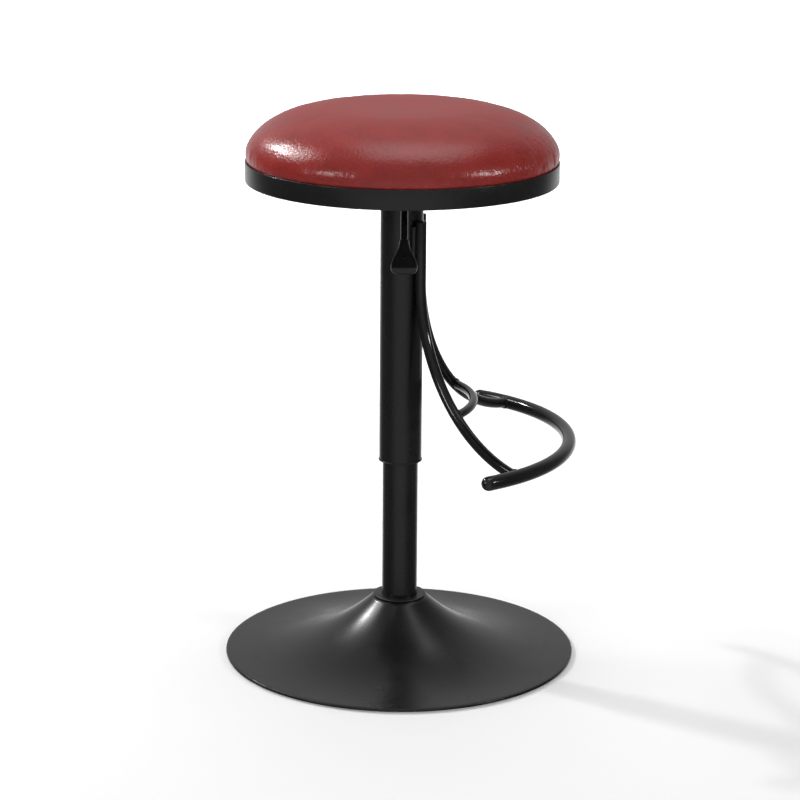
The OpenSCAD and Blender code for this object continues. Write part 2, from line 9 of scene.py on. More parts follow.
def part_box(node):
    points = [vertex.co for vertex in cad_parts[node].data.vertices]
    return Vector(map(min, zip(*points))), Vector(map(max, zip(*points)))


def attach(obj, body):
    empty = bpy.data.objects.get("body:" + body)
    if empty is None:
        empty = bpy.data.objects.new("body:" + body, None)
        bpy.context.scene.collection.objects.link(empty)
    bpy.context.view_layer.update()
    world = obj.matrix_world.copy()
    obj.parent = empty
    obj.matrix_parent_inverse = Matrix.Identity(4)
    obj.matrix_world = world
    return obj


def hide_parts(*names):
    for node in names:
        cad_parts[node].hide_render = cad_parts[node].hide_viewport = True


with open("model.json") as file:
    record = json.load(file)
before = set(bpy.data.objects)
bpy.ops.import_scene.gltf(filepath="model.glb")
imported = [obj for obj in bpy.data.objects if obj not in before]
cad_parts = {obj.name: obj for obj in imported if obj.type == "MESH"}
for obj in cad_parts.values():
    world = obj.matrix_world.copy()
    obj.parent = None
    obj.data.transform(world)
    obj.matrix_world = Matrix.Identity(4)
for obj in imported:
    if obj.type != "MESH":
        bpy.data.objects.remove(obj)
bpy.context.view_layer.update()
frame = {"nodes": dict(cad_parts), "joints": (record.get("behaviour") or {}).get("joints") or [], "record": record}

bl_info = {
    "name": "Swivel Stool",
    "version": (1, 0, 0),
    "blender": (4, 5, 0),
    "location": "View3D > Sidebar > Stool",
    "description": "Round bar stool on a gas lift: the finished pieces, their materials and the studio",
    "category": "Object",
}

MM = 0.001

UPPER_TUBE_WALL = 2 * MM
CLOTH_FACE = 4.5 * MM
CLOTH_FRAMES = 20
CLOTH_PRESSURE = 4.0
CLOTH_SHARE = 0.5
IRONING = 3

CAMERA_PLACE = (-0.000838, -2.99344, 1.12620)
CAMERA_DIP = 15.4386
CAMERA_ROLL = 0.3947
CAMERA_SENSOR = 36.0
CAMERA_LENS = 123.55425


def top_of(node):
    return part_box(node)[1][2]


def foot_of(node):
    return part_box(node)[0][2]


def radius_of(node):
    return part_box(node)[1][0]


def middle_of(node):
    low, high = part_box(node)
    return (low[2] + high[2]) / 2


# ---- sizes and colours that a user would change ----

def length(name, description, default):
    return bpy.props.FloatProperty(
        name=name, description=description, default=default, min=0.0, subtype="DISTANCE", unit="LENGTH")


def angle(name, description, degrees):
    return bpy.props.FloatProperty(
        name=name, description=description, default=math.radians(degrees), subtype="ANGLE", unit="ROTATION")


def paint(name, description, default):
    return bpy.props.StringProperty(name=name, description=description, default=default)


class STOOL_PG_base(bpy.types.PropertyGroup):
    cover_radius: length("Cover radius", "Outside radius of the base cover", radius_of("base_cover"))
    neck_height: length("Neck height", "Height of the cover's neck", top_of("base_cover"))
    neck_land: length("Neck land", "Width of the flat ring on top of the neck", 8.2 * MM)
    neck_gap: length("Neck gap", "Gap between the column and the cover's hole", 1.8 * MM)
    neck_round: length("Neck rounding", "Radius of the neck's outer corner", 4 * MM)
    cover_wall: length("Cover wall", "Thickness of the cover's sheet steel", 2 * MM)
    cover_rim: length("Cover rim", "Height of the cover's upright rim", 3.2 * MM)
    rim_round: length("Rim rounding", "Radius of the cover's outer edge", 1.2 * MM)
    flare: bpy.props.FloatProperty(
        name="Flare", description="How sharply the cover flares to its neck", default=2.7, min=2.2, max=3.4)
    ring_width: length("Floor ring width", "Width of the plastic ring under the rim", 11.2 * MM)


class STOOL_PG_footrest(bpy.types.PropertyGroup):
    bar_radius: length("Bar radius", "Radius of the foot bar", 8 * MM)
    bar_bend: length("Bar bend", "Radius that the foot bar is bent to", 212 * MM)
    bar_half_angle: angle("Bar half angle", "Half of the angle the foot bar turns through", 56.81)
    arm_radius: length("Arm radius", "Radius of the arms", 6 * MM)
    arm_straight: length("Arm straight", "Length of the arms' straight stretch", 69 * MM)
    arm_turn: angle("Arm turn", "Angle that an arm turns through on its way to the bar", 84.5)
    arm_splay: angle("Arm splay", "Angle between an arm's plane and the front", 51.3)
    brace_radius: length("Brace radius", "Radius of the brace", 5 * MM)
    brace_bend: length("Brace bend", "Radius that the brace is bent to", 129.5 * MM)
    weld_start: length("Weld start", "Distance of an arm's weld from the arm's top", 5 * MM)
    weld_length: length("Weld length", "Length of an arm's weld to the upper tube", 39 * MM)
    bead: length("Bead", "Radius of the weld beads beside the upper tube", 2.4 * MM)
    fillet: length("Fillet", "Radius of the small weld beads round the rods' ends", 1.3 * MM)


class STOOL_PG_seat(bpy.types.PropertyGroup):
    rim_radius: length("Rim radius", "Outside radius of the steel rim", radius_of("seat_rim"))
    rim_wall: length("Rim wall", "Thickness of the rim's flat bar", 2 * MM)
    rim_lip: length("Rim lip", "Width of the lip that carries the board", 24 * MM)
    bulge: length("Bulge", "How far the cushion stands past the rim", 1.3 * MM)
    skin: length("Cover skin", "Thickness of the cushion's cover", 1.2 * MM)
    swell: length("Swell", "Most that the padding may swell the cover", 1.5 * MM)
    pucker: length("Pucker", "Depth of the gathers beside the rim", 0.8 * MM)


class STOOL_PG_lever(bpy.types.PropertyGroup):
    rod_radius: length("Rod radius", "Radius of the lever's rod", 4 * MM)
    reach: length("Reach", "Distance from the column's axis to the lever's bend", 76 * MM)
    bend: angle("Bend", "Angle by which the lever bends down", 32)
    bend_radius: length("Bend radius", "Radius of the lever's bend", 9 * MM)
    tail: length("Tail", "Length of the rod past its bend, before the grip", 52 * MM)


class STOOL_PG_finish(bpy.types.PropertyGroup):
    coat: paint("Powder coat", "Black powder coat on the steel", "#151516")
    cover: paint("Cover", "Oxblood cover of the cushion", "#882622")
    plastic: paint("Plastic", "Black moulded plastic", "#151516")
    ring: paint("Floor ring", "Pale plastic ring under the base", "#D9D8D2")
    floor: paint("Floor", "Studio floor", "#F4F4F4")


GROUPS = {
    "stool_base": STOOL_PG_base,
    "stool_footrest": STOOL_PG_footrest,
    "stool_seat": STOOL_PG_seat,
    "stool_lever": STOOL_PG_lever,
    "stool_finish": STOOL_PG_finish,
}


# ---- materials ----

def linear(hex_colour):
    """A linear RGBA colour from an sRGB hex value."""
    def channel(value):
        return value / 12.92 if value <= 0.04045 else ((value + 0.055) / 1.055) ** 2.4
    digits = hex_colour.lstrip("#")
    return tuple(channel(int(digits[i:i + 2], 16) / 255) for i in (0, 2, 4)) + (1.0,)


# a Map Range node's setting that eases into and out of its range
SMOOTH = {"interpolation_type": "SMOOTHSTEP"}


def add_node(tree, kind, settings=None, inputs=None):
    """Adds a node, sets its properties, and sets or links its inputs by name or number."""
    node = tree.nodes.new(kind)
    for name, value in (settings or {}).items():
        setattr(node, name, value)
    for name, value in (inputs or {}).items():
        if isinstance(value, bpy.types.NodeSocket):
            tree.links.new(value, node.inputs[name])
        else:
            node.inputs[name].default_value = value
    return node


def new_material(name):
    """An empty node material and the Object coordinates that its patterns read."""
    material = bpy.data.materials.new(name)
    material.use_nodes = True
    material.node_tree.nodes.clear()
    place = add_node(material.node_tree, "ShaderNodeTexCoord").outputs["Object"]
    return material, material.node_tree, place


def per_mm(size):
    """Texture scale for a pattern whose features are that many millimetres apart."""
    return 1.0 / (size * MM)


def shade(hex_colour, factor):
    """The same colour, lighter or darker by a factor."""
    digits = hex_colour.lstrip("#")
    return "#" + "".join("%02X" % min(255, round(int(digits[i:i + 2], 16) * factor)) for i in (0, 2, 4))


def powder_coat(name, colour, roughness, peel, depth):
    """Mild steel, electrostatically powder coated in black and baked: a soft-edged gloss with an
    orange peel, its hollows peel millimetres apart, and a faint cloudiness where the coat is thicker."""
    material, tree, place = new_material(name)
    clouds = add_node(tree, "ShaderNodeTexNoise", inputs={
        "Vector": place, "Scale": per_mm(45), "Detail": 2.0})
    hollows = add_node(tree, "ShaderNodeTexNoise", inputs={
        "Vector": place, "Scale": per_mm(peel), "Detail": 1.0})
    relief = add_node(tree, "ShaderNodeBump", inputs={
        "Height": hollows.outputs["Fac"], "Strength": 0.35, "Distance": depth * MM})
    tint = add_node(tree, "ShaderNodeMix", {"data_type": "RGBA"}, {
        0: clouds.outputs["Fac"], 6: linear(shade(colour, 0.9)), 7: linear(shade(colour, 1.12))})
    sheen = add_node(tree, "ShaderNodeMapRange", SMOOTH, {
        "Value": clouds.outputs["Fac"], "From Min": 0.3, "From Max": 0.7,
        "To Min": roughness - 0.03, "To Max": roughness + 0.03})
    shader = add_node(tree, "ShaderNodeBsdfPrincipled", inputs={
        "Base Color": tint.outputs[2], "Roughness": sheen.outputs["Result"],
        "IOR": 1.5, "Specular IOR Level": 0.4, "Normal": relief.outputs["Normal"]})
    add_node(tree, "ShaderNodeOutputMaterial", inputs={"Surface": shader.outputs["BSDF"]})
    return material


def oxblood_cover(colour):
    """Polyurethane leathercloth with an embossed grain, stretched over foam: a glossy skin that turns
    duller on the worn top, broken up by a pebbled grain and by fine creases low on its sides."""
    material, tree, place = new_material("oxblood_leathercloth")
    blotches = add_node(tree, "ShaderNodeTexNoise", inputs={
        "Vector": place, "Scale": per_mm(30), "Detail": 3.0})
    # real grain is under a millimetre across; it is drawn at 2.2 mm so that it shows
    grain = add_node(tree, "ShaderNodeTexVoronoi", {"feature": "SMOOTH_F1"}, {
        "Vector": place, "Scale": per_mm(2.2), "Smoothness": 0.4, "Randomness": 1.0})
    # the foam's skin shows through as shallow pebbles 3 mm apart
    pebbles = add_node(tree, "ShaderNodeTexNoise", inputs={
        "Vector": place, "Scale": per_mm(3.2), "Detail": 2.0, "Roughness": 0.55})
    # where it is drawn down behind the rim the cover crinkles upright, 7 mm apart, most on its right
    drawn = add_node(tree, "ShaderNodeMapping", inputs={"Vector": place, "Scale": (1.0, 1.0, 0.22)})
    creases = add_node(tree, "ShaderNodeTexNoise", inputs={
        "Vector": drawn.outputs["Vector"], "Scale": per_mm(7.0), "Detail": 3.0, "Roughness": 0.6,
        "Distortion": 0.8})
    height = add_node(tree, "ShaderNodeSeparateXYZ", inputs={"Vector": place})
    rim_top = top_of("seat_rim")
    low_side = add_node(tree, "ShaderNodeMapRange", SMOOTH, {
        "Value": height.outputs["Z"], "From Min": rim_top + 17.5 * MM, "From Max": rim_top + 51.5 * MM,
        "To Min": 1.0, "To Max": 0.0}).outputs["Result"]
    right_side = add_node(tree, "ShaderNodeMapRange", SMOOTH, {
        "Value": height.outputs["X"], "From Min": 100 * MM, "From Max": 140 * MM,
        "To Min": 0.12, "To Max": 1.0}).outputs["Result"]
    where = add_node(tree, "ShaderNodeMath", {"operation": "MULTIPLY"}, {0: low_side, 1: right_side})
    lines = add_node(tree, "ShaderNodeMapRange", SMOOTH, {
        "Value": creases.outputs["Fac"], "From Min": 0.35, "From Max": 0.65,
        "To Min": 0.0, "To Max": 1.0}).outputs["Result"]
    crease_height = add_node(tree, "ShaderNodeMath", {"operation": "MULTIPLY"}, {
        0: lines, 1: where.outputs[0]})
    fine = add_node(tree, "ShaderNodeBump", inputs={
        "Height": grain.outputs["Distance"], "Strength": 0.6, "Distance": 0.2 * MM})
    middle = add_node(tree, "ShaderNodeBump", inputs={
        "Height": pebbles.outputs["Fac"], "Strength": 0.6, "Distance": 0.45 * MM,
        "Normal": fine.outputs["Normal"]})
    relief = add_node(tree, "ShaderNodeBump", inputs={
        "Height": crease_height.outputs[0], "Strength": 0.6, "Distance": 0.8 * MM,
        "Normal": middle.outputs["Normal"]})
    tone = add_node(tree, "ShaderNodeMath", {"operation": "MULTIPLY_ADD"}, {
        0: grain.outputs["Distance"], 1: 0.5, 2: blotches.outputs["Fac"]})
    top_wear = add_node(tree, "ShaderNodeMapRange", SMOOTH, {
        "Value": height.outputs["Z"], "From Min": rim_top + 35.5 * MM, "From Max": rim_top + 57.5 * MM,
        "To Min": 0.0, "To Max": 1.0}).outputs["Result"]
    gloss = add_node(tree, "ShaderNodeMath", {"operation": "MULTIPLY_ADD"}, {0: top_wear, 1: 0.17, 2: 0.20})
    uneven = add_node(tree, "ShaderNodeMath", {"operation": "MULTIPLY_ADD"}, {
        0: blotches.outputs["Fac"], 1: 0.12, 2: gloss.outputs[0]})
    share = add_node(tree, "ShaderNodeMapRange", SMOOTH, {
        "Value": tone.outputs[0], "From Min": 0.4, "From Max": 1.0, "To Min": 0.0, "To Max": 1.0})
    tint = add_node(tree, "ShaderNodeMix", {"data_type": "RGBA"}, {
        0: share.outputs["Result"], 6: linear(shade(colour, 0.94)), 7: linear(shade(colour, 1.06))})
    shader = add_node(tree, "ShaderNodeBsdfPrincipled", inputs={
        "Base Color": tint.outputs[2],
        "Roughness": uneven.outputs[0], "IOR": 1.5, "Specular IOR Level": 0.42,
        "Normal": relief.outputs["Normal"]})
    add_node(tree, "ShaderNodeOutputMaterial", inputs={"Surface": shader.outputs["BSDF"]})
    return material


def moulded_plastic(name, colour, roughness, grit):
    """Injection-moulded polypropylene with a spark-eroded texture: an even low sheen that breaks up
    in tiny pits."""
    material, tree, place = new_material(name)
    pits = add_node(tree, "ShaderNodeTexNoise", inputs={
        "Vector": place, "Scale": per_mm(grit), "Detail": 2.0})
    flow = add_node(tree, "ShaderNodeTexNoise", inputs={"Vector": place, "Scale": per_mm(25), "Detail": 1.0})
    relief = add_node(tree, "ShaderNodeBump", inputs={
        "Height": pits.outputs["Fac"], "Strength": 0.3, "Distance": 0.04 * MM})
    tint = add_node(tree, "ShaderNodeMix", {"data_type": "RGBA"}, {
        0: flow.outputs["Fac"], 6: linear(shade(colour, 0.9)), 7: linear(shade(colour, 1.15))})
    sheen = add_node(tree, "ShaderNodeMapRange", SMOOTH, {
        "Value": flow.outputs["Fac"], "From Min": 0.3, "From Max": 0.7,
        "To Min": roughness - 0.04, "To Max": roughness + 0.04})
    shader = add_node(tree, "ShaderNodeBsdfPrincipled", inputs={
        "Base Color": tint.outputs[2], "Roughness": sheen.outputs["Result"],
        "IOR": 1.49, "Normal": relief.outputs["Normal"]})
    add_node(tree, "ShaderNodeOutputMaterial", inputs={"Surface": shader.outputs["BSDF"]})
    return material


def nitrile_rubber():
    """Moulded nitrile rubber: nearly matt black with a slight bloom."""
    material, tree, place = new_material("nitrile_rubber")
    bloom = add_node(tree, "ShaderNodeTexNoise", inputs={"Vector": place, "Scale": per_mm(4), "Detail": 4.0})
    relief = add_node(tree, "ShaderNodeBump", inputs={
        "Height": bloom.outputs["Fac"], "Strength": 0.2, "Distance": 0.05 * MM})
    tint = add_node(tree, "ShaderNodeMix", {"data_type": "RGBA"}, {
        0: bloom.outputs["Fac"], 6: linear("#161616"), 7: linear("#2A2A29")})
    shader = add_node(tree, "ShaderNodeBsdfPrincipled", inputs={
        "Base Color": tint.outputs[2],
        "Roughness": 0.75, "IOR": 1.52, "Normal": relief.outputs["Normal"]})
    add_node(tree, "ShaderNodeOutputMaterial", inputs={"Surface": shader.outputs["BSDF"]})
    return material


def soft_vinyl(colour):
    """Extruded soft vinyl, milky and a little see-through: light spreads inside it, so its edge glows."""
    material, tree, place = new_material("milky_vinyl_ring")
    haze = add_node(tree, "ShaderNodeTexNoise", inputs={"Vector": place, "Scale": per_mm(6), "Detail": 2.0})
    relief = add_node(tree, "ShaderNodeBump", inputs={
        "Height": haze.outputs["Fac"], "Strength": 0.2, "Distance": 0.05 * MM})
    tint = add_node(tree, "ShaderNodeMix", {"data_type": "RGBA"}, {
        0: haze.outputs["Fac"], 6: linear(shade(colour, 0.94)), 7: linear(colour)})
    sheen = add_node(tree, "ShaderNodeMapRange", SMOOTH, {
        "Value": haze.outputs["Fac"], "From Min": 0.3, "From Max": 0.7,
        "To Min": 0.34, "To Max": 0.44})
    shader = add_node(tree, "ShaderNodeBsdfPrincipled", inputs={
        "Base Color": tint.outputs[2],
        "Roughness": sheen.outputs["Result"], "IOR": 1.53,
        "Subsurface Weight": 0.35, "Subsurface Radius": (1.0, 0.98, 0.9), "Subsurface Scale": 2 * MM,
        "Normal": relief.outputs["Normal"]})
    add_node(tree, "ShaderNodeOutputMaterial", inputs={"Surface": shader.outputs["BSDF"]})
    return material


def bare_metal(name, dark, light, roughness, streak, stretch):
    """Bare or plated metal: metallic, its gloss broken by fine streaks or spangle of a stated spacing
    in millimetres, drawn out along the axes where stretch is small."""
    material, tree, place = new_material(name)
    drawn = add_node(tree, "ShaderNodeMapping", inputs={"Vector": place, "Scale": stretch})
    lines = add_node(tree, "ShaderNodeTexNoise", inputs={
        "Vector": drawn.outputs["Vector"], "Scale": per_mm(streak), "Detail": 3.0})
    relief = add_node(tree, "ShaderNodeBump", inputs={
        "Height": lines.outputs["Fac"], "Strength": 0.15, "Distance": 0.03 * MM})
    tint = add_node(tree, "ShaderNodeMix", {"data_type": "RGBA"}, {
        0: lines.outputs["Fac"], 6: linear(dark), 7: linear(light)})
    sheen = add_node(tree, "ShaderNodeMapRange", SMOOTH, {
        "Value": lines.outputs["Fac"], "From Min": 0.3, "From Max": 0.7,
        "To Min": roughness - 0.06, "To Max": roughness + 0.06})
    shader = add_node(tree, "ShaderNodeBsdfPrincipled", inputs={
        "Base Color": tint.outputs[2], "Metallic": 1.0,
        "Roughness": sheen.outputs["Result"],
        "Normal": relief.outputs["Normal"]})
    add_node(tree, "ShaderNodeOutputMaterial", inputs={"Surface": shader.outputs["BSDF"]})
    return material


def birch_plywood():
    """Rotary-cut birch plywood, brushed with one coat of black stain that leaves the long grain and the
    ply lines showing."""
    material, tree, place = new_material("black_stained_plywood")
    along = add_node(tree, "ShaderNodeMapping", inputs={"Vector": place, "Scale": (0.06, 1.0, 1.0)})
    grain = add_node(tree, "ShaderNodeTexNoise", inputs={
        "Vector": along.outputs["Vector"], "Scale": per_mm(3.5), "Detail": 5.0, "Distortion": 0.6})
    # a wave's period is tau / 20 of its scale, so the plies darken in bands 9.4 mm apart
    plies = add_node(tree, "ShaderNodeTexWave", {"bands_direction": "Z"}, {
        "Vector": place, "Scale": per_mm(1.5) / 20, "Distortion": 0.2})
    ply_tone = add_node(tree, "ShaderNodeMapRange", SMOOTH, {
        "Value": plies.outputs["Fac"], "From Min": 0.1, "From Max": 0.9,
        "To Min": 0.25, "To Max": 0.0}).outputs["Result"]
    mixed = add_node(tree, "ShaderNodeMath", {"operation": "ADD"}, {0: grain.outputs["Fac"], 1: ply_tone})
    relief = add_node(tree, "ShaderNodeBump", inputs={
        "Height": grain.outputs["Fac"], "Strength": 0.4, "Distance": 0.15 * MM})
    tint = add_node(tree, "ShaderNodeMix", {"data_type": "RGBA"}, {
        0: mixed.outputs[0], 6: linear("#2B2622"), 7: linear("#151311")})
    shader = add_node(tree, "ShaderNodeBsdfPrincipled", inputs={
        "Base Color": tint.outputs[2],
        "Roughness": 0.66, "IOR": 1.5, "Normal": relief.outputs["Normal"]})
    add_node(tree, "ShaderNodeOutputMaterial", inputs={"Surface": shader.outputs["BSDF"]})
    return material


def cast_iron():
    """Sand-cast grey iron: rough, grainy and dark, with a faint brown tinge."""
    material, tree, place = new_material("sand_cast_iron")
    sand = add_node(tree, "ShaderNodeTexNoise", inputs={"Vector": place, "Scale": per_mm(2), "Detail": 5.0})
    relief = add_node(tree, "ShaderNodeBump", inputs={
        "Height": sand.outputs["Fac"], "Strength": 0.6, "Distance": 0.3 * MM})
    tint = add_node(tree, "ShaderNodeMix", {"data_type": "RGBA"}, {
        0: sand.outputs["Fac"], 6: linear("#2B2826"), 7: linear("#4A4440")})
    shader = add_node(tree, "ShaderNodeBsdfPrincipled", inputs={
        "Base Color": tint.outputs[2],
        "Metallic": 0.6, "Roughness": 0.7, "Normal": relief.outputs["Normal"]})
    add_node(tree, "ShaderNodeOutputMaterial", inputs={"Surface": shader.outputs["BSDF"]})
    return material


def make_materials(finish):
    """Every material, by the record's slot name."""
    return {
        "black_powder_coat": powder_coat("satin_black_powder_coat", finish.coat, 0.27, 1.4, 0.025),
        "gloss_coat": powder_coat("gloss_black_powder_coat", finish.coat, 0.11, 2.5, 0.02),
        "gloss_plastic": moulded_plastic("polished_black_polypropylene", finish.plastic, 0.16, 2.0),
        "oxblood_leather": oxblood_cover(finish.cover),
        "black_plastic": moulded_plastic("black_polypropylene", finish.plastic, 0.38, 0.9),
        "black_rubber": nitrile_rubber(),
        "clear_plastic": soft_vinyl(finish.ring),
        "plywood": birch_plywood(),
        "cast_ballast": cast_iron(),
        "plain_steel": bare_metal("mill_finish_steel", "#6C6E72", "#8A8C90", 0.45, 1.2, (1.0, 1.0, 0.1)),
        "zinc_steel": bare_metal("bright_zinc_plate", "#B4B8BC", "#D6DADD", 0.32, 2.0, (1.0, 1.0, 1.0)),
        "polished_rod": bare_metal("ground_chromed_rod", "#C9CCCF", "#E4E6E8", 0.14, 0.8, (1.0, 1.0, 0.05)),
        "brass_cage": bare_metal("stamped_brass", "#B48A3C", "#D9B25E", 0.34, 1.0, (1.0, 1.0, 1.0)),
    }


MATERIALS = {}


# ---- shared shapes ----

def new_piece(name, bm, body, slot, stands_for=(), sharp=35.0, finish=None):
    """Closes a bmesh into a finished piece, which rides on a body and stands for its CAD nodes. Its
    material is the slot's own unless a finish is named."""
    bmesh.ops.remove_doubles(bm, verts=bm.verts, dist=0.002 * MM)
    bmesh.ops.recalc_face_normals(bm, faces=bm.faces)
    mesh = bpy.data.meshes.new(name)
    bm.to_mesh(mesh)
    bm.free()
    piece = bpy.data.objects.new(name, mesh)
    bpy.context.scene.collection.objects.link(piece)
    mesh.materials.append(MATERIALS[finish or slot])
    mesh.shade_smooth()
    if sharp:
        mesh.set_sharp_from_angle(angle=math.radians(sharp))
    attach(piece, body)
    if stands_for:
        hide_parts(*stands_for)
    return piece


def outline_of(bm, points):
    """A closed outline in the XZ plane. A point is (radius, height) or (radius, height, rounding),
    and the corners that have a rounding are bevelled round."""
    verts = [bm.verts.new((p[0], 0.0, p[1])) for p in points]
    bm.faces.new(verts)
    for vert, point in zip(verts, points):
        if len(point) > 2:
            bmesh.ops.bevel(bm, geom=[vert], affect="VERTICES", offset=point[2], offset_type="OFFSET",
                            segments=4, profile=0.5, material=-1)
    face = bm.faces[:][0]
    loop = list(face.edges)
    bmesh.ops.delete(bm, geom=[face], context="FACES_ONLY")
    return loop


def full_turn(bm, edges, steps):
    verts = list({v for e in edges for v in e.verts})
    bmesh.ops.spin(bm, geom=verts + edges, cent=(0, 0, 0), axis=(0, 0, 1), angle=math.tau,
                   steps=steps, use_merge=True)


def turned(points, steps=128):
    """A ring-shaped solid of revolution about Z."""
    bm = bmesh.new()
    full_turn(bm, outline_of(bm, points), steps)
    return bm


def ring_edges(bm, radius, matrix, sides):
    """A circle's edges, to extrude or spin into a rod."""
    verts = bmesh.ops.create_circle(bm, radius=radius, segments=sides, matrix=matrix)["verts"]
    return list({e for v in verts for e in v.link_edges})


def straight_on(bm, edges, step):
    """Extrudes a ring of edges by a vector, and gives the new ring."""
    geom = bmesh.ops.extrude_edge_only(bm, edges=edges)["geom"]
    verts = {g for g in geom if isinstance(g, bmesh.types.BMVert)}
    bmesh.ops.translate(bm, verts=list(verts), vec=step)
    return [g for g in geom if isinstance(g, bmesh.types.BMEdge) and set(g.verts) <= verts]


def bend_on(bm, edges, centre, axis, turn, steps):
    """Turns a ring of edges about an axis into a bend, and gives its last ring."""
    verts = list({v for e in edges for v in e.verts})
    geom = bmesh.ops.spin(bm, geom=verts + edges, cent=centre, axis=axis, angle=turn, steps=steps,
                          use_merge=False)["geom_last"]
    return [g for g in geom if isinstance(g, bmesh.types.BMEdge)]


def close_end(bm, edges, rounding):
    """Caps a ring of edges and rounds the cap's edge."""
    bmesh.ops.contextual_create(bm, geom=edges)
    if rounding:
        bmesh.ops.bevel(bm, geom=edges, affect="EDGES", offset=rounding, offset_type="OFFSET",
                        segments=3, profile=0.5, material=-1, clamp_overlap=True)


def facing(direction, place=(0, 0, 0)):
    """A matrix that puts a flat shape at a place, square to a direction."""
    turn = Vector(direction).to_track_quat("Z", "Y").to_matrix().to_4x4()
    return Matrix.Translation(Vector(place)) @ turn


def ripple(index, depth):
    """The scalloped swelling of a weld bead, one puddle in three rings."""
    return 1.0 + depth * (0.0, 0.7, 1.0, 0.35)[index % 4]


def collar_bead(name, centre, into, along, rod_r, pipe_r, bead):
    """The fillet weld round the end of a rod that butts into the side of a pipe. The bead follows the
    pipe's curve."""
    into = Vector(into).normalized()
    across = into.cross(Vector(along)).normalized()
    steps = 44
    bm = bmesh.new()
    section = ring_edges(bm, bead, Matrix.Translation((rod_r + 0.15 * bead, 0, 0)) @ Matrix.Rotation(
        math.pi / 2, 4, "X"), 10)
    full_turn(bm, section, steps)
    placed = facing(into, centre)
    for vert in bm.verts:
        turn = math.atan2(vert.co.y, vert.co.x)
        index = round(turn / math.tau * steps)
        middle = Vector((math.cos(turn), math.sin(turn), 0)) * (rod_r + 0.15 * bead)
        vert.co = middle + (vert.co - middle) * ripple(index, 0.14)
        level = min(abs((placed.to_3x3() @ middle).dot(across)), pipe_r * 0.995)
        vert.co.z -= math.sqrt(pipe_r ** 2 - level ** 2)
    bmesh.ops.transform(bm, matrix=placed, verts=bm.verts)
    return new_piece(name, bm, "seat", "black_powder_coat", sharp=0, finish="gloss_coat")


def line_bead(name, foot, height, bead):
    """A fillet weld that runs straight up from a point."""
    step = 1.3 * MM
    bm = bmesh.new()
    ring = ring_edges(bm, bead, Matrix.Translation(foot), 12)
    rings = [ring]
    for _ in range(round(height / step)):
        ring = straight_on(bm, ring, (0, 0, step))
        rings.append(ring)
    last = len(rings) - 1
    for i, edges in enumerate(rings):
        verts = list({v for e in edges for v in e.verts})
        taper = min(1.0, 0.45 + 0.3 * min(i, last - i))
        size = taper * ripple(i, 0.16)
        place = Matrix.Translation((foot[0], foot[1], 0))
        bmesh.ops.scale(bm, vec=(size, size, 1.0), verts=verts, space=place.inverted())
    bmesh.ops.contextual_create(bm, geom=rings[0])
    bmesh.ops.contextual_create(bm, geom=rings[-1])
    return new_piece(name, bm, "seat", "black_powder_coat", sharp=0)


# ---- base ----

class STOOL_OT_base(bpy.types.Operator):
    """Makes the spun base cover, the ring it stands on and the bush in its neck"""
    bl_idname = "stool.base"
    bl_label = "Base"

    def execute(self, context):
        size = context.scene.stool_base
        foot = foot_of("base_cover")
        hole = radius_of("column_tube") + size.neck_gap
        neck = hole + size.neck_land
        rim = foot + size.cover_rim

        def share(r):
            return (size.cover_radius - r) / (size.cover_radius - neck)

        def height(r):
            return rim + (size.neck_height - rim) * (0.94 * share(r) ** size.flare + 0.06 * share(r))

        def under(r):
            step = 0.1 * MM
            slope = (height(r - step) - height(r + step)) / (2 * step)
            return height(r) - size.cover_wall * math.sqrt(1 + slope ** 2)

        steps = 40
        outside = [(neck + (size.cover_radius - neck) * (i / steps) ** 1.25) for i in range(steps + 1)]
        inner_radius = size.cover_radius - size.cover_wall
        inside = [inner_radius - (inner_radius - neck) * i / steps for i in range(steps + 1)]
        points = [(hole, size.neck_height, 0.7 * MM), (neck, size.neck_height, size.neck_round)]
        points += [(r, height(r)) for r in outside[2:-1]]
        points += [(size.cover_radius, height(size.cover_radius), size.rim_round),
                   (size.cover_radius, foot, 0.3 * MM), (size.cover_radius - size.cover_wall, foot)]
        points += [(r, max(under(r), foot + 0.2 * MM)) for r in inside[1:]]
        points += [(hole, size.neck_height - size.cover_wall)]
        new_piece("base_cover_spun", turned(points, 160), "base", "black_powder_coat", ["base_cover"], 50)

        out = size.cover_radius - 0.8 * MM
        new_piece("floor_ring_vinyl", turned([
            (out, 0.0, 0.4 * MM), (out, foot - 0.02 * MM, 0.3 * MM),
            (size.cover_radius - size.cover_wall - 0.05 * MM, foot),
            (size.cover_radius - size.cover_wall - 0.05 * MM, foot + 0.9 * MM, 0.2 * MM),
            (size.cover_radius - 6 * MM, foot + 0.9 * MM, 0.2 * MM), (size.cover_radius - 6 * MM, foot),
            (out - size.ring_width, foot, 0.3 * MM), (out - size.ring_width, 0.0, 0.4 * MM),
        ], 160), "base", "clear_plastic", ["floor_ring"])

        low, high = foot_of("neck_bush"), top_of("neck_bush")
        bore, out = radius_of("column_tube") + 0.05 * MM, radius_of("neck_bush")
        plug, snap = hole - 0.05 * MM, hole + 4 * MM
        shoulder = size.neck_height - size.cover_wall
        new_piece("neck_bush_moulded", turned([
            (bore, low, 0.3 * MM), (bore, high, 0.6 * MM), (out, high, 0.9 * MM),
            (out, size.neck_height, 0.3 * MM), (plug, size.neck_height),
            (plug, shoulder), (snap, shoulder, 0.3 * MM), (snap, shoulder - 2 * MM, 0.3 * MM),
            (plug, shoulder - 2 * MM), (plug, low, 0.3 * MM),
        ], 128), "base", "black_plastic", ["neck_bush"])
        return {"FINISHED"}


# ---- column ----

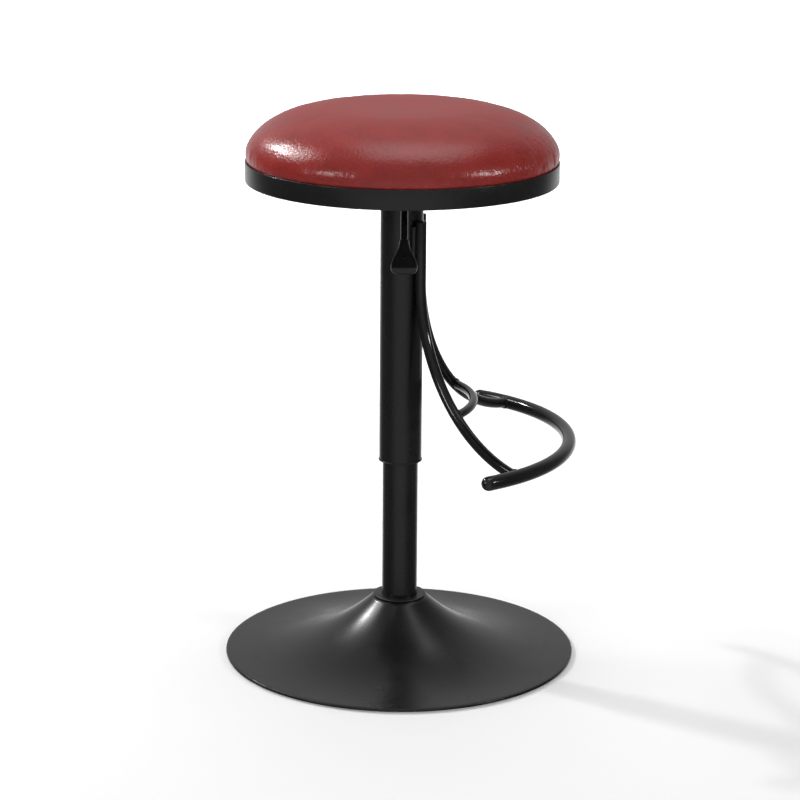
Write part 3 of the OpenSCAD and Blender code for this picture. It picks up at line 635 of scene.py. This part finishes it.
class STOOL_OT_column(bpy.types.Operator):
    """Makes the upper tube with its lever slot, the ring that guides it and its weld to the plate"""
    bl_idname = "stool.column"
    bl_label = "Column"

    def execute(self, context):
        low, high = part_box("upper_tube")
        outer, inner = high[0], high[0] - UPPER_TUBE_WALL
        # the skin of the tube, cut open at the lever's slot, then given its wall
        bm = bmesh.new()
        ring = ring_edges(bm, outer, Matrix.Translation((0, 0, low[2])), 96)
        straight_on(bm, ring, (0, 0, high[2] - low[2]))
        lever_x = lever_middle()
        slot = 6 * MM
        slot_floor = top_of("gas_cylinder") + 1.8 * MM
        for point, normal in (((lever_x - slot, 0, 0), (1, 0, 0)), ((lever_x + slot, 0, 0), (1, 0, 0)),
                              ((0, 0, slot_floor), (0, 0, 1))):
            bmesh.ops.bisect_plane(bm, geom=bm.verts[:] + bm.edges[:] + bm.faces[:], plane_co=point,
                                   plane_no=normal)
        gone = [f for f in bm.faces if f.calc_center_median().y < 0 and f.calc_center_median().z > slot_floor
                and abs(f.calc_center_median().x - lever_x) < slot]
        bmesh.ops.delete(bm, geom=gone, context="FACES")
        bmesh.ops.recalc_face_normals(bm, faces=bm.faces)
        if bm.faces[:][0].normal.dot(bm.faces[:][0].calc_center_median().to_2d().to_3d()) < 0:
            bmesh.ops.reverse_faces(bm, faces=bm.faces)
        bmesh.ops.solidify(bm, geom=bm.faces[:], thickness=outer - inner)
        new_piece("upper_tube_slotted", bm, "seat", "black_powder_coat", ["upper_tube"])

        guide_low, guide_high = foot_of("upper_tube_guide_ring"), top_of("upper_tube_guide_ring")
        lip = radius_of("upper_tube_guide_ring")
        bore = radius_of("column_tube") + 0.08 * MM
        new_piece("guide_ring_moulded", turned([
            (bore, guide_low, 0.5 * MM), (bore, guide_high, 0.3 * MM),
            (inner - 0.02 * MM, guide_high, 0.3 * MM),
            (inner - 0.02 * MM, low[2]), (lip, low[2], 0.45 * MM), (lip, guide_low, 0.6 * MM),
        ], 96), "seat", "black_plastic", ["upper_tube_guide_ring"])

        bm = bmesh.new()
        bead = 2.2 * MM
        start = Matrix.Rotation(math.radians(-66), 4, "Z")
        section = ring_edges(bm, bead, start @ Matrix.Translation(
            (outer, 0, foot_of("seat_plate"))) @ Matrix.Rotation(math.pi / 2, 4, "X"), 10)
        steps = 90
        last = bend_on(bm, section, (0, 0, 0), (0, 0, 1), math.radians(318), steps)
        for edges in (section, last):
            bmesh.ops.contextual_create(bm, geom=edges)
        top = foot_of("seat_plate") - 0.02 * MM
        for vert in bm.verts:
            turn = math.atan2(vert.co.y, vert.co.x)
            middle = Vector((math.cos(turn) * outer, math.sin(turn) * outer, foot_of("seat_plate")))
            vert.co = middle + (vert.co - middle) * ripple(round(turn / math.radians(318) * steps), 0.12)
            vert.co.z = min(vert.co.z, top)
        new_piece("plate_weld", bm, "seat", "black_powder_coat", sharp=0)
        return {"FINISHED"}


def lever_middle():
    low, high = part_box("lever_rod")
    return (low[0] + high[0]) / 2


# ---- footrest ----

class STOOL_OT_footrest(bpy.types.Operator):
    """Makes the foot bar, its end caps, the two arms, the brace and all their welds"""
    bl_idname = "stool.footrest"
    bl_label = "Footrest"

    def execute(self, context):
        size = context.scene.stool_footrest
        bar_z = middle_of("foot_bar")
        bar_centre = Vector((radius_of("foot_bar") - size.bar_bend - size.bar_radius, 0, bar_z))
        half = size.bar_half_angle

        bm = bmesh.new()
        start = bar_centre + Vector((math.cos(-half), math.sin(-half), 0)) * size.bar_bend
        along = Vector((math.sin(half), math.cos(half), 0))
        first = ring_edges(bm, size.bar_radius, facing(along, start), 40)
        last = bend_on(bm, first, bar_centre, (0, 0, 1), 2 * half, 120)
        for edges in (first, last):
            close_end(bm, edges, 0.5 * MM)
        new_piece("foot_bar_bent", bm, "seat", "black_powder_coat", ["foot_bar"],
                  finish="gloss_coat")

        bm = bmesh.new()
        for side in (-1, 1):
            place = bar_centre + Vector((math.cos(side * half), math.sin(side * half), 0)) * size.bar_bend
            out = Vector((-math.sin(half), side * math.cos(half), 0))
            self.add_cap(bm, size.bar_radius, facing(out, place))
        new_piece("end_caps_domed", bm, "seat", "black_plastic", ["foot_bar_end_caps"],
                  finish="gloss_plastic")

        arm_top = top_of("footrest_arm_left")
        arm_bend_z = arm_top - size.arm_straight
        arm_bend = (arm_bend_z - bar_z) / math.sin(size.arm_turn)
        place = (radius_of("upper_tube") + size.arm_radius) / math.sqrt(2)
        for side, name in ((1, "left"), (-1, "right")):
            out = Vector((math.cos(size.arm_splay), side * math.sin(size.arm_splay), 0))
            axis = Vector((out.y, -out.x, 0))
            top = Vector((place, side * place, arm_top))
            bm = bmesh.new()
            first = ring_edges(bm, size.arm_radius, Matrix.Translation(top), 36)
            ring = straight_on(bm, first, (0, 0, -size.arm_straight))
            centre = Vector((top.x, top.y, arm_bend_z)) + out * arm_bend
            # the arm stops inside the bar's wall
            last = bend_on(bm, ring, centre, axis, size.arm_turn - size.bar_radius * 0.4 / arm_bend, 64)
            close_end(bm, first, 0.9 * MM)
            close_end(bm, last, 0)
            new_piece("footrest_arm_%s_bent" % name, bm, "seat", "black_powder_coat",
                      ["footrest_arm_" + name], finish="gloss_coat")

            end = centre + Matrix.Rotation(size.arm_turn, 3, axis) @ (-out * arm_bend)
            into = Matrix.Rotation(size.arm_turn, 3, axis) @ Vector((0, 0, -1))
            bar_along = Vector((0, 0, 1)).cross(end - bar_centre)
            collar_bead("bar_weld_" + name, end, into, bar_along, size.arm_radius, size.bar_radius,
                        size.fillet)

            # a bead in each valley between the arm and the upper tube
            tube = radius_of("upper_tube")
            reach = tube + size.bead
            gap = tube + size.arm_radius
            swing = math.acos((reach ** 2 + gap ** 2 - (size.arm_radius + size.bead) ** 2)
                              / (2 * reach * gap))
            for valley in (-1, 1):
                turn = side * math.pi / 4 + valley * swing * 0.93
                foot = (reach * math.cos(turn) * 0.985, reach * math.sin(turn) * 0.985,
                        arm_top - size.weld_start - size.weld_length)
                line_bead("arm_weld_%s_%s" % (name, "inner" if valley * side < 0 else "outer"), foot,
                          size.weld_length, size.bead * 1.1)

        brace_z = middle_of("footrest_brace")
        brace_centre = Vector((radius_of("footrest_brace") - size.brace_bend - size.brace_radius, 0, brace_z))
        turn = math.asin((arm_bend_z - brace_z) / arm_bend)
        run = arm_bend * (1 - math.cos(turn))
        end_y = place + run * math.sin(size.arm_splay)
        half = math.asin(end_y / size.brace_bend)
        bm = bmesh.new()
        start = brace_centre + Vector((math.cos(half), -math.sin(half), 0)) * size.brace_bend
        first = ring_edges(bm, size.brace_radius, facing((math.sin(half), math.cos(half), 0), start), 32)
        last = bend_on(bm, first, brace_centre, (0, 0, 1), 2 * half, 72)
        for edges in (first, last):
            close_end(bm, edges, 0)
        new_piece("footrest_brace_bent", bm, "seat", "black_powder_coat", ["footrest_brace"],
                  finish="gloss_coat")
        for side, name in ((1, "left"), (-1, "right")):
            end = brace_centre + Vector((math.cos(half), side * math.sin(half), 0)) * size.brace_bend
            into = Vector((-math.sin(half), side * math.cos(half), 0))
            out = Vector((math.cos(size.arm_splay), side * math.sin(size.arm_splay), 0))
            arm_along = Vector((0, 0, -1)) * math.cos(turn) + out * math.sin(turn)
            collar_bead("brace_weld_" + name, end, into, arm_along, size.brace_radius, size.arm_radius,
                        size.fillet)
        return {"FINISHED"}

    @staticmethod
    def add_cap(bm, radius, matrix):
        """A domed plastic plug: a thin step at the tube's end, then half a ball."""
        steps = 14
        dome = [(radius * math.cos(math.pi / 2 * i / steps), radius * math.sin(math.pi / 2 * i / steps))
                for i in range(steps)]
        points = [(0.0, -10 * MM), (radius * 0.75, -10 * MM), (radius * 0.75, 0.1 * MM),
                  (radius * 0.95, 0.1 * MM), (radius, 0.6 * MM)] + [
                      (r, z) for r, z in dome if z > 0.7 * MM] + [(0.0, radius)]
        verts = [bm.verts.new((r, 0, z)) for r, z in points]
        edges = [bm.edges.new(pair) for pair in zip(verts, verts[1:])]
        before = set(bm.verts) - set(verts)
        full_turn(bm, edges, 40)
        cap = [v for v in bm.verts if v not in before]
        bmesh.ops.remove_doubles(bm, verts=cap, dist=0.002 * MM)
        cap = [v for v in bm.verts if v not in before]
        bmesh.ops.transform(bm, matrix=matrix, verts=cap)


# ---- lever ----

class STOOL_OT_lever(bpy.types.Operator):
    """Makes the bent lever rod with its hub, and the moulded grip"""
    bl_idname = "stool.lever"
    bl_label = "Lever"

    def execute(self, context):
        size = context.scene.stool_lever
        x = lever_middle()
        pin = frame_joint("lever_pull")["pos_m"]
        z = pin[2]
        inner_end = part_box("lever_rod")[1][1]
        bend = size.bend_radius * math.tan(size.bend / 2)

        bm = bmesh.new()
        first = ring_edges(bm, size.rod_radius, facing((0, -1, 0), (x, inner_end, z)), 32)
        ring = straight_on(bm, first, (0, -(inner_end + size.reach - bend), 0))
        centre = (x, -size.reach + bend, z - size.bend_radius)
        ring = bend_on(bm, ring, centre, (1, 0, 0), size.bend, 10)
        tail = Vector((0, -math.cos(size.bend), -math.sin(size.bend)))
        last = straight_on(bm, ring, tail * (size.tail + 30 * MM - bend))
        close_end(bm, first, 0.6 * MM)
        close_end(bm, last, 0.4 * MM)
        hub = ring_edges(bm, 6 * MM, facing((1, 0, 0), (x - 5 * MM, pin[1], z)), 40)
        hub_end = straight_on(bm, hub, (10 * MM, 0, 0))
        close_end(bm, hub, 0.5 * MM)
        close_end(bm, hub_end, 0.5 * MM)
        new_piece("lever_rod_bent", bm, "lever", "black_powder_coat", ["lever_rod"], finish="gloss_coat")

        # the grip is drawn along Z, then laid along the lever's tail
        bm = bmesh.new()
        # distance along the grip, half width and half thickness, in millimetres
        sections = ((0.0, 5.1, 5.1), (1.2, 5.5, 5.5), (8.0, 5.7, 5.3), (15.0, 7.4, 4.6), (23.0, 10.3, 3.8),
                    (31.0, 13.0, 3.4), (37.0, 14.2, 3.4), (41.0, 14.4, 3.9), (44.0, 13.7, 4.3),
                    (46.0, 12.2, 4.2), (47.3, 9.6, 3.3), (47.9, 6.0, 1.8))
        ring = None
        rings = []
        for far, wide, thick in sections:
            if ring is None:
                ring = ring_edges(bm, 1 * MM, Matrix.Identity(4), 24)
                first = ring
            else:
                ring = straight_on(bm, ring, (0, 0, (far - before) * MM))
            before = far
            rings.append((ring, wide, thick, far))
        for edges, wide, thick, far in rings:
            for vert in {v for e in edges for v in e.verts}:
                turn = math.atan2(vert.co.y, vert.co.x)
                # the section goes from round at the neck to a rounded slab at the end
                power = 2.0 if far < 10 else 2.0 + 1.6 * min(1.0, (far - 10) / 25)
                ca, sa = math.cos(turn), math.sin(turn)
                vert.co.x = math.copysign(abs(ca) ** (2 / power), ca) * wide * MM
                vert.co.y = math.copysign(abs(sa) ** (2 / power), sa) * thick * MM
        bmesh.ops.contextual_create(bm, geom=first)
        bmesh.ops.contextual_create(bm, geom=ring)
        start = Vector((x, -size.reach, z)) + tail * size.tail
        turn = Matrix.Rotation(math.pi / 2 + size.bend, 4, "X")
        bmesh.ops.transform(bm, matrix=Matrix.Translation(start) @ turn, verts=bm.verts)
        grip = new_piece("lever_grip_moulded", bm, "lever", "black_plastic", ["lever_grip"], 0)
        subdivide(grip, 2)
        return {"FINISHED"}


def frame_joint(name):
    return next(j for j in frame["joints"] if j["name"] == name)


def subdivide(piece, levels):
    smooth = piece.modifiers.new("Smooth", "SUBSURF")
    smooth.levels = levels
    smooth.render_levels = levels


# ---- seat ----

class STOOL_OT_rim(bpy.types.Operator):
    """Makes the rolled steel rim with its lip"""
    bl_idname = "stool.rim"
    bl_label = "Rim"

    def execute(self, context):
        size = context.scene.stool_seat
        low, high = foot_of("seat_rim"), top_of("seat_rim")
        out, wall = size.rim_radius, size.rim_wall
        new_piece("seat_rim_rolled", turned([
            (out - wall - size.rim_lip, low, 0.5 * MM), (out, low, 0.9 * MM), (out, high, 0.6 * MM),
            (out - wall, high, 0.6 * MM), (out - wall, low + wall, 0.5 * MM),
            (out - wall - size.rim_lip, low + wall, 0.5 * MM),
        ], 192), "seat", "black_powder_coat", ["seat_rim"])
        return {"FINISHED"}


class STOOL_OT_cushion(bpy.types.Operator):
    """Makes the padded cushion and the hem of its cover"""
    bl_idname = "stool.cushion"
    bl_label = "Cushion"

    def execute(self, context):
        size = context.scene.stool_seat
        rim_top = top_of("seat_rim")
        crown = top_of("seat_cover")
        board_top = top_of("seat_board")
        tuck = size.rim_radius - size.rim_wall - 0.4 * MM
        bulge = size.rim_radius + size.bulge
        bulge_z, tuck_z = rim_top + 9 * MM, rim_top + 0.5 * MM

        steps, swell = 34, 0.5 * MM
        bm = bmesh.new()
        points = []
        for i in range(steps + 1):
            turn = math.pi / 2 * (1 - i / steps)
            points.append(((bulge - swell) * max(math.cos(turn), 0) ** (2 / 4.37),
                           bulge_z + (crown - swell - bulge_z) * math.sin(turn) ** (2 / 1.48)))
        for i in range(1, 7):
            turn = math.pi / 2 * i / 6
            points.append((tuck - swell + (bulge - tuck) * math.cos(turn),
                           bulge_z - (bulge_z - tuck_z) * math.sin(turn)))
        points += [(tuck - swell, board_top + 0.2 * MM), (0.0, board_top + 0.2 * MM)]
        verts = [bm.verts.new((r, 0, z)) for r, z in points]
        full_turn(bm, [bm.edges.new(pair) for pair in zip(verts, verts[1:])], 128)
        cushion = new_piece("seat_cushion", bm, "seat", "oxblood_leather",
                            ["seat_cover", "seat_foam"], 0)

        remesh(cushion, CLOTH_FACE)
        inflate(cushion, tuck_z + 1.5 * MM, size.swell)
        subdivide(cushion, 1)
        apply_modifiers(cushion)
        self.settle(cushion, size, tuck, bulge, tuck_z, bulge_z, crown)

        skin = size.skin
        low = foot_of("seat_cover")
        hem = radius_of("seat_rim") - size.rim_wall - size.rim_lip + 1 * MM
        new_piece("cover_hem", turned([
            (hem, low, 0.4 * MM), (tuck, low, 1.0 * MM), (tuck, board_top - 0.1 * MM),
            (tuck - skin, board_top - 0.1 * MM), (tuck - skin, low + skin), (hem, low + skin, 0.4 * MM),
        ], 128), "seat", "oxblood_leather")
        return {"FINISHED"}

    @staticmethod
    def settle(cushion, size, tuck, bulge, tuck_z, bulge_z, crown):
        """Draws the cover in behind the rim with small gathers, and keeps it inside its real outline."""
        for vert in cushion.data.vertices:
            co = vert.co
            far = max(math.hypot(co.x, co.y), 0.1 * MM)
            ca, sa = co.x / far, co.y / far
            # gathers run up from the rim: 19 mm and 7 mm apart, gone 32 mm above it, most on the right
            fold = noise.noise((ca * 9, sa * 9, co.z * 12)) * 0.55
            fold += noise.noise((ca * 25, sa * 25, co.z * 30)) * 0.45
            patch = 0.2 + max(0.0, 0.6 * noise.noise((ca * 1.7 + 4.2, sa * 1.7, 0.4)) + 2.4 * (ca - 0.62))
            level = max(0.0, 1 - abs(co.z - (tuck_z + 8 * MM)) / (24 * MM))
            # the foam is never quite even: soft hollows 90 mm apart
            lean = noise.noise((co.x * 11 + 5, co.y * 11, co.z * 11)) * 0.9 * MM
            side = min(1.0, max(0.0, (far / bulge - 0.7) / 0.2))
            move = (fold * size.pucker * level * patch * 1.6 + lean * 0.3) * side
            low = min(1.0, max(0.0, (bulge_z - co.z) / (bulge_z - tuck_z)))
            limit = tuck + (bulge + 0.8 * MM - tuck) * math.sqrt(1 - low ** 2)
            new = min(far + move, limit)
            co.x *= new / far
            co.y *= new / far
            up = min(1.0, max(0.0, (co.z - bulge_z) / (20 * MM)))
            co.z = eased(co.z + lean * 0.6 * up, crown, 1.5 * MM)


def eased(value, limit, width):
    """Slows a value down smoothly as it nears a limit that it never passes."""
    start = limit - width
    return value if value < start else limit - width * math.exp((start - value) / width)


def remesh(piece, voxel):
    """Rebuilds a piece's mesh from even small faces, ready for the cloth."""
    modifier = piece.modifiers.new("Even faces", "REMESH")
    modifier.mode = "VOXEL"
    modifier.voxel_size = voxel
    modifier.use_smooth_shade = True
    apply_modifiers(piece)


def apply_modifiers(piece):
    graph = bpy.context.evaluated_depsgraph_get()
    graph.update()
    mesh = bpy.data.meshes.new_from_object(piece.evaluated_get(graph), depsgraph=graph)
    piece.modifiers.clear()
    old = piece.data
    piece.data = mesh
    mesh.name = old.name
    bpy.data.meshes.remove(old)
    mesh.shade_smooth()


def inflate(piece, pinned_below, most):
    """Fills a closed cover with pressure as cloth, held fast below a height, and caps the swelling."""
    start = [v.co.copy() for v in piece.data.vertices]
    held = piece.vertex_groups.new(name="held")
    held.add([v.index for v in piece.data.vertices if v.co.z < pinned_below], 1.0, "REPLACE")
    cloth = piece.modifiers.new("Cover", "CLOTH")
    settings = cloth.settings
    settings.quality = 6
    settings.mass = 0.3
    settings.tension_stiffness = 12
    settings.compression_stiffness = 12
    settings.shear_stiffness = 8
    settings.bending_stiffness = 1.5
    settings.use_pressure = True
    settings.uniform_pressure_force = CLOTH_PRESSURE
    settings.vertex_group_mass = "held"
    settings.effector_weights.gravity = 0.0
    cloth.point_cache.frame_start = 1
    cloth.point_cache.frame_end = CLOTH_FRAMES
    scene = bpy.context.scene
    for step in range(1, CLOTH_FRAMES + 1):
        scene.frame_set(step)
    apply_modifiers(piece)
    scene.frame_set(1)
    for vert, first in zip(piece.data.vertices, start):
        move = (vert.co - first) * CLOTH_SHARE
        if move.length > most:
            move *= most / move.length
        vert.co = first + move
    # taut leathercloth irons out the cloth's finest wrinkles
    bm = bmesh.new()
    bm.from_mesh(piece.data)
    for _ in range(IRONING):
        bmesh.ops.smooth_vert(bm, verts=bm.verts, factor=0.5,
                              use_axis_x=True, use_axis_y=True, use_axis_z=True)
    bm.to_mesh(piece.data)
    bm.free()


# ---- finish of the frame's own pieces ----

class STOOL_OT_fittings(bpy.types.Operator):
    """Gives the pieces that keep their engineering shape their real materials"""
    bl_idname = "stool.fittings"
    bl_label = "Fittings"

    def execute(self, context):
        slots = {part["node"]: part["material_slot"] for part in frame["record"]["subparts"]}
        for name, piece in frame["nodes"].items():
            material = MATERIALS.get(slots.get(name))
            if material is None:
                continue
            if not piece.data.materials:
                piece.data.materials.append(material)
            for index in range(len(piece.material_slots)):
                piece.material_slots[index].material = material
        return {"FINISHED"}


# ---- studio ----

def soft_box(name, place, aim, size, power, spread=180, shines=True):
    """A soft light panel. One that doesn't shine lights the scene but isn't mirrored in glossy paint."""
    data = bpy.data.lights.new(name, "AREA")
    data.shape = "RECTANGLE"
    data.size, data.size_y = size
    data.energy = power
    data.spread = math.radians(spread)
    box = bpy.data.objects.new(name, data)
    box.location = place
    box.rotation_euler = (Vector(aim) - Vector(place)).to_track_quat("-Z", "Y").to_euler()
    box.visible_glossy = shines
    bpy.context.scene.collection.objects.link(box)


class STOOL_OT_studio(bpy.types.Operator):
    """Makes the floor, the soft lights and the camera"""
    bl_idname = "stool.studio"
    bl_label = "Studio"

    def execute(self, context):
        scene = context.scene
        bm = bmesh.new()
        bmesh.ops.create_circle(bm, cap_ends=True, radius=30.0, segments=96)
        mesh = bpy.data.meshes.new("floor")
        bm.to_mesh(mesh)
        bm.free()
        floor = bpy.data.objects.new("floor", mesh)
        scene.collection.objects.link(floor)
        # glossy paint mirrors the room's own light and the soft boxes; the world below stands for the floor
        floor.visible_glossy = False
        material, tree, place = new_material("painted_studio_floor")
        mottle = add_node(tree, "ShaderNodeTexNoise", inputs={"Vector": place, "Scale": per_mm(900)})
        colour = context.scene.stool_finish.floor
        tint = add_node(tree, "ShaderNodeMix", {"data_type": "RGBA"}, {
            0: mottle.outputs["Fac"], 6: linear(shade(colour, 0.99)), 7: linear(colour)})
        shader = add_node(tree, "ShaderNodeBsdfPrincipled", inputs={
            "Base Color": tint.outputs[2],
            "Roughness": 0.9, "Specular IOR Level": 0.1})
        add_node(tree, "ShaderNodeOutputMaterial", inputs={"Surface": shader.outputs["BSDF"]})
        mesh.materials.append(material)

        world = bpy.data.worlds.new("studio")
        world.use_nodes = True
        scene.world = world
        tree = world.node_tree
        tree.nodes.clear()
        # the room is pale before and behind the stool and dark on both sides of it
        way = add_node(tree, "ShaderNodeSeparateXYZ", inputs={
            "Vector": add_node(tree, "ShaderNodeTexCoord").outputs["Generated"]})
        aside = add_node(tree, "ShaderNodeMath", {"operation": "ABSOLUTE"}, {0: way.outputs["X"]})
        dim = add_node(tree, "ShaderNodeMapRange", SMOOTH, {
            "Value": aside.outputs[0], "From Min": 0.3, "From Max": 0.9,
            "To Min": 0.44, "To Max": 0.12}).outputs["Result"]
        # below eye level glossy paint mirrors the lit floor, brightest behind the stool
        low = add_node(tree, "ShaderNodeMapRange", SMOOTH, {
            "Value": way.outputs["Z"], "From Min": -0.14, "From Max": 0.02,
            "To Min": 1.0, "To Max": 0.12}).outputs["Result"]
        behind = add_node(tree, "ShaderNodeMapRange", SMOOTH, {
            "Value": way.outputs["Y"], "From Min": 0.55, "From Max": 0.95,
            "To Min": 0.0, "To Max": 0.65}).outputs["Result"]
        before = add_node(tree, "ShaderNodeMapRange", SMOOTH, {
            "Value": way.outputs["Y"], "From Min": -0.95, "From Max": -0.5,
            "To Min": 0.16, "To Max": 0.0}).outputs["Result"]
        along = add_node(tree, "ShaderNodeMath", {"operation": "ADD"}, {0: behind, 1: before})
        glow = add_node(tree, "ShaderNodeMath", {"operation": "MULTIPLY_ADD"}, {
            0: along.outputs[0], 1: low, 2: dim})
        light = add_node(tree, "ShaderNodeBackground", inputs={
            "Color": linear("#FFFFFF"), "Strength": glow.outputs[0]})
        add_node(tree, "ShaderNodeOutputWorld", inputs={"Surface": light.outputs["Background"]})

        middle = Vector((0, 0, 0.3))
        key = Vector((-0.67, 0.445, 0.588)).normalized()
        over = Vector((-0.70, 0.22, 0.60)).normalized()
        seat = Vector((0, 0, 0.62))
        soft_box("key", middle + key * 3.2, middle, (0.18, 0.18), 36)
        soft_box("key_softener", seat + over * 3.3, seat, (1.1, 0.8), 24)
        right = Vector((0.861, -0.438, 0.26)).normalized()
        soft_box("right", seat + right * 3.0, seat, (0.6, 0.25), 22)
        left = Vector((-0.784, -0.564, 0.26)).normalized()
        soft_box("left", seat + left * 3.0, seat, (0.8, 0.25), 16)
        soft_box("ceiling", (0.3, 0.2, 3.2), (0.1, 0.2, 0), (2.2, 2.2), 9.2, 90)
        soft_box("backdrop", (0, 5.4, 3.6), (0, 5.4, 0), (2.4, 6.4), 170, 90, False)

        scene.view_settings.view_transform = "Standard"
        data = bpy.data.cameras.new("camera")
        data.sensor_width = CAMERA_SENSOR
        data.lens = CAMERA_LENS
        data.clip_end = 100.0
        camera = bpy.data.objects.new("camera", data)
        camera.matrix_world = (Matrix.Translation(CAMERA_PLACE)
                               @ Matrix.Rotation(math.radians(90 - CAMERA_DIP), 4, "X")
                               @ Matrix.Rotation(math.radians(CAMERA_ROLL), 4, "Z"))
        scene.collection.objects.link(camera)
        scene.camera = camera
        return {"FINISHED"}


# ---- panel and registration ----

OPERATORS = (STOOL_OT_fittings, STOOL_OT_base, STOOL_OT_column, STOOL_OT_footrest, STOOL_OT_lever,
             STOOL_OT_rim, STOOL_OT_cushion, STOOL_OT_studio)


class STOOL_PT_sidebar(bpy.types.Panel):
    """Lists the stool's sizes, finishes and build steps"""
    bl_idname = "STOOL_PT_sidebar"
    bl_label = "Swivel Stool"
    bl_space_type = "VIEW_3D"
    bl_region_type = "UI"
    bl_category = "Stool"

    def draw(self, context):
        for name, group in GROUPS.items():
            box = self.layout.box()
            settings = getattr(context.scene, name)
            for key in group.__annotations__:
                box.prop(settings, key)
        for operator in OPERATORS:
            self.layout.operator(operator.bl_idname)


CLASSES = tuple(GROUPS.values()) + OPERATORS + (STOOL_PT_sidebar,)


def register():
    for cls in CLASSES:
        bpy.utils.register_class(cls)
    for name, group in GROUPS.items():
        setattr(bpy.types.Scene, name, bpy.props.PointerProperty(type=group))


def unregister():
    for name in GROUPS:
        delattr(bpy.types.Scene, name)
    for cls in reversed(CLASSES):
        bpy.utils.unregister_class(cls)


def main():
    register()
    MATERIALS.update(make_materials(bpy.context.scene.stool_finish))
    for operator in OPERATORS:
        group, call = operator.bl_idname.split(".")
        getattr(getattr(bpy.ops, group), call)()


if __name__ == "__main__":
    main()
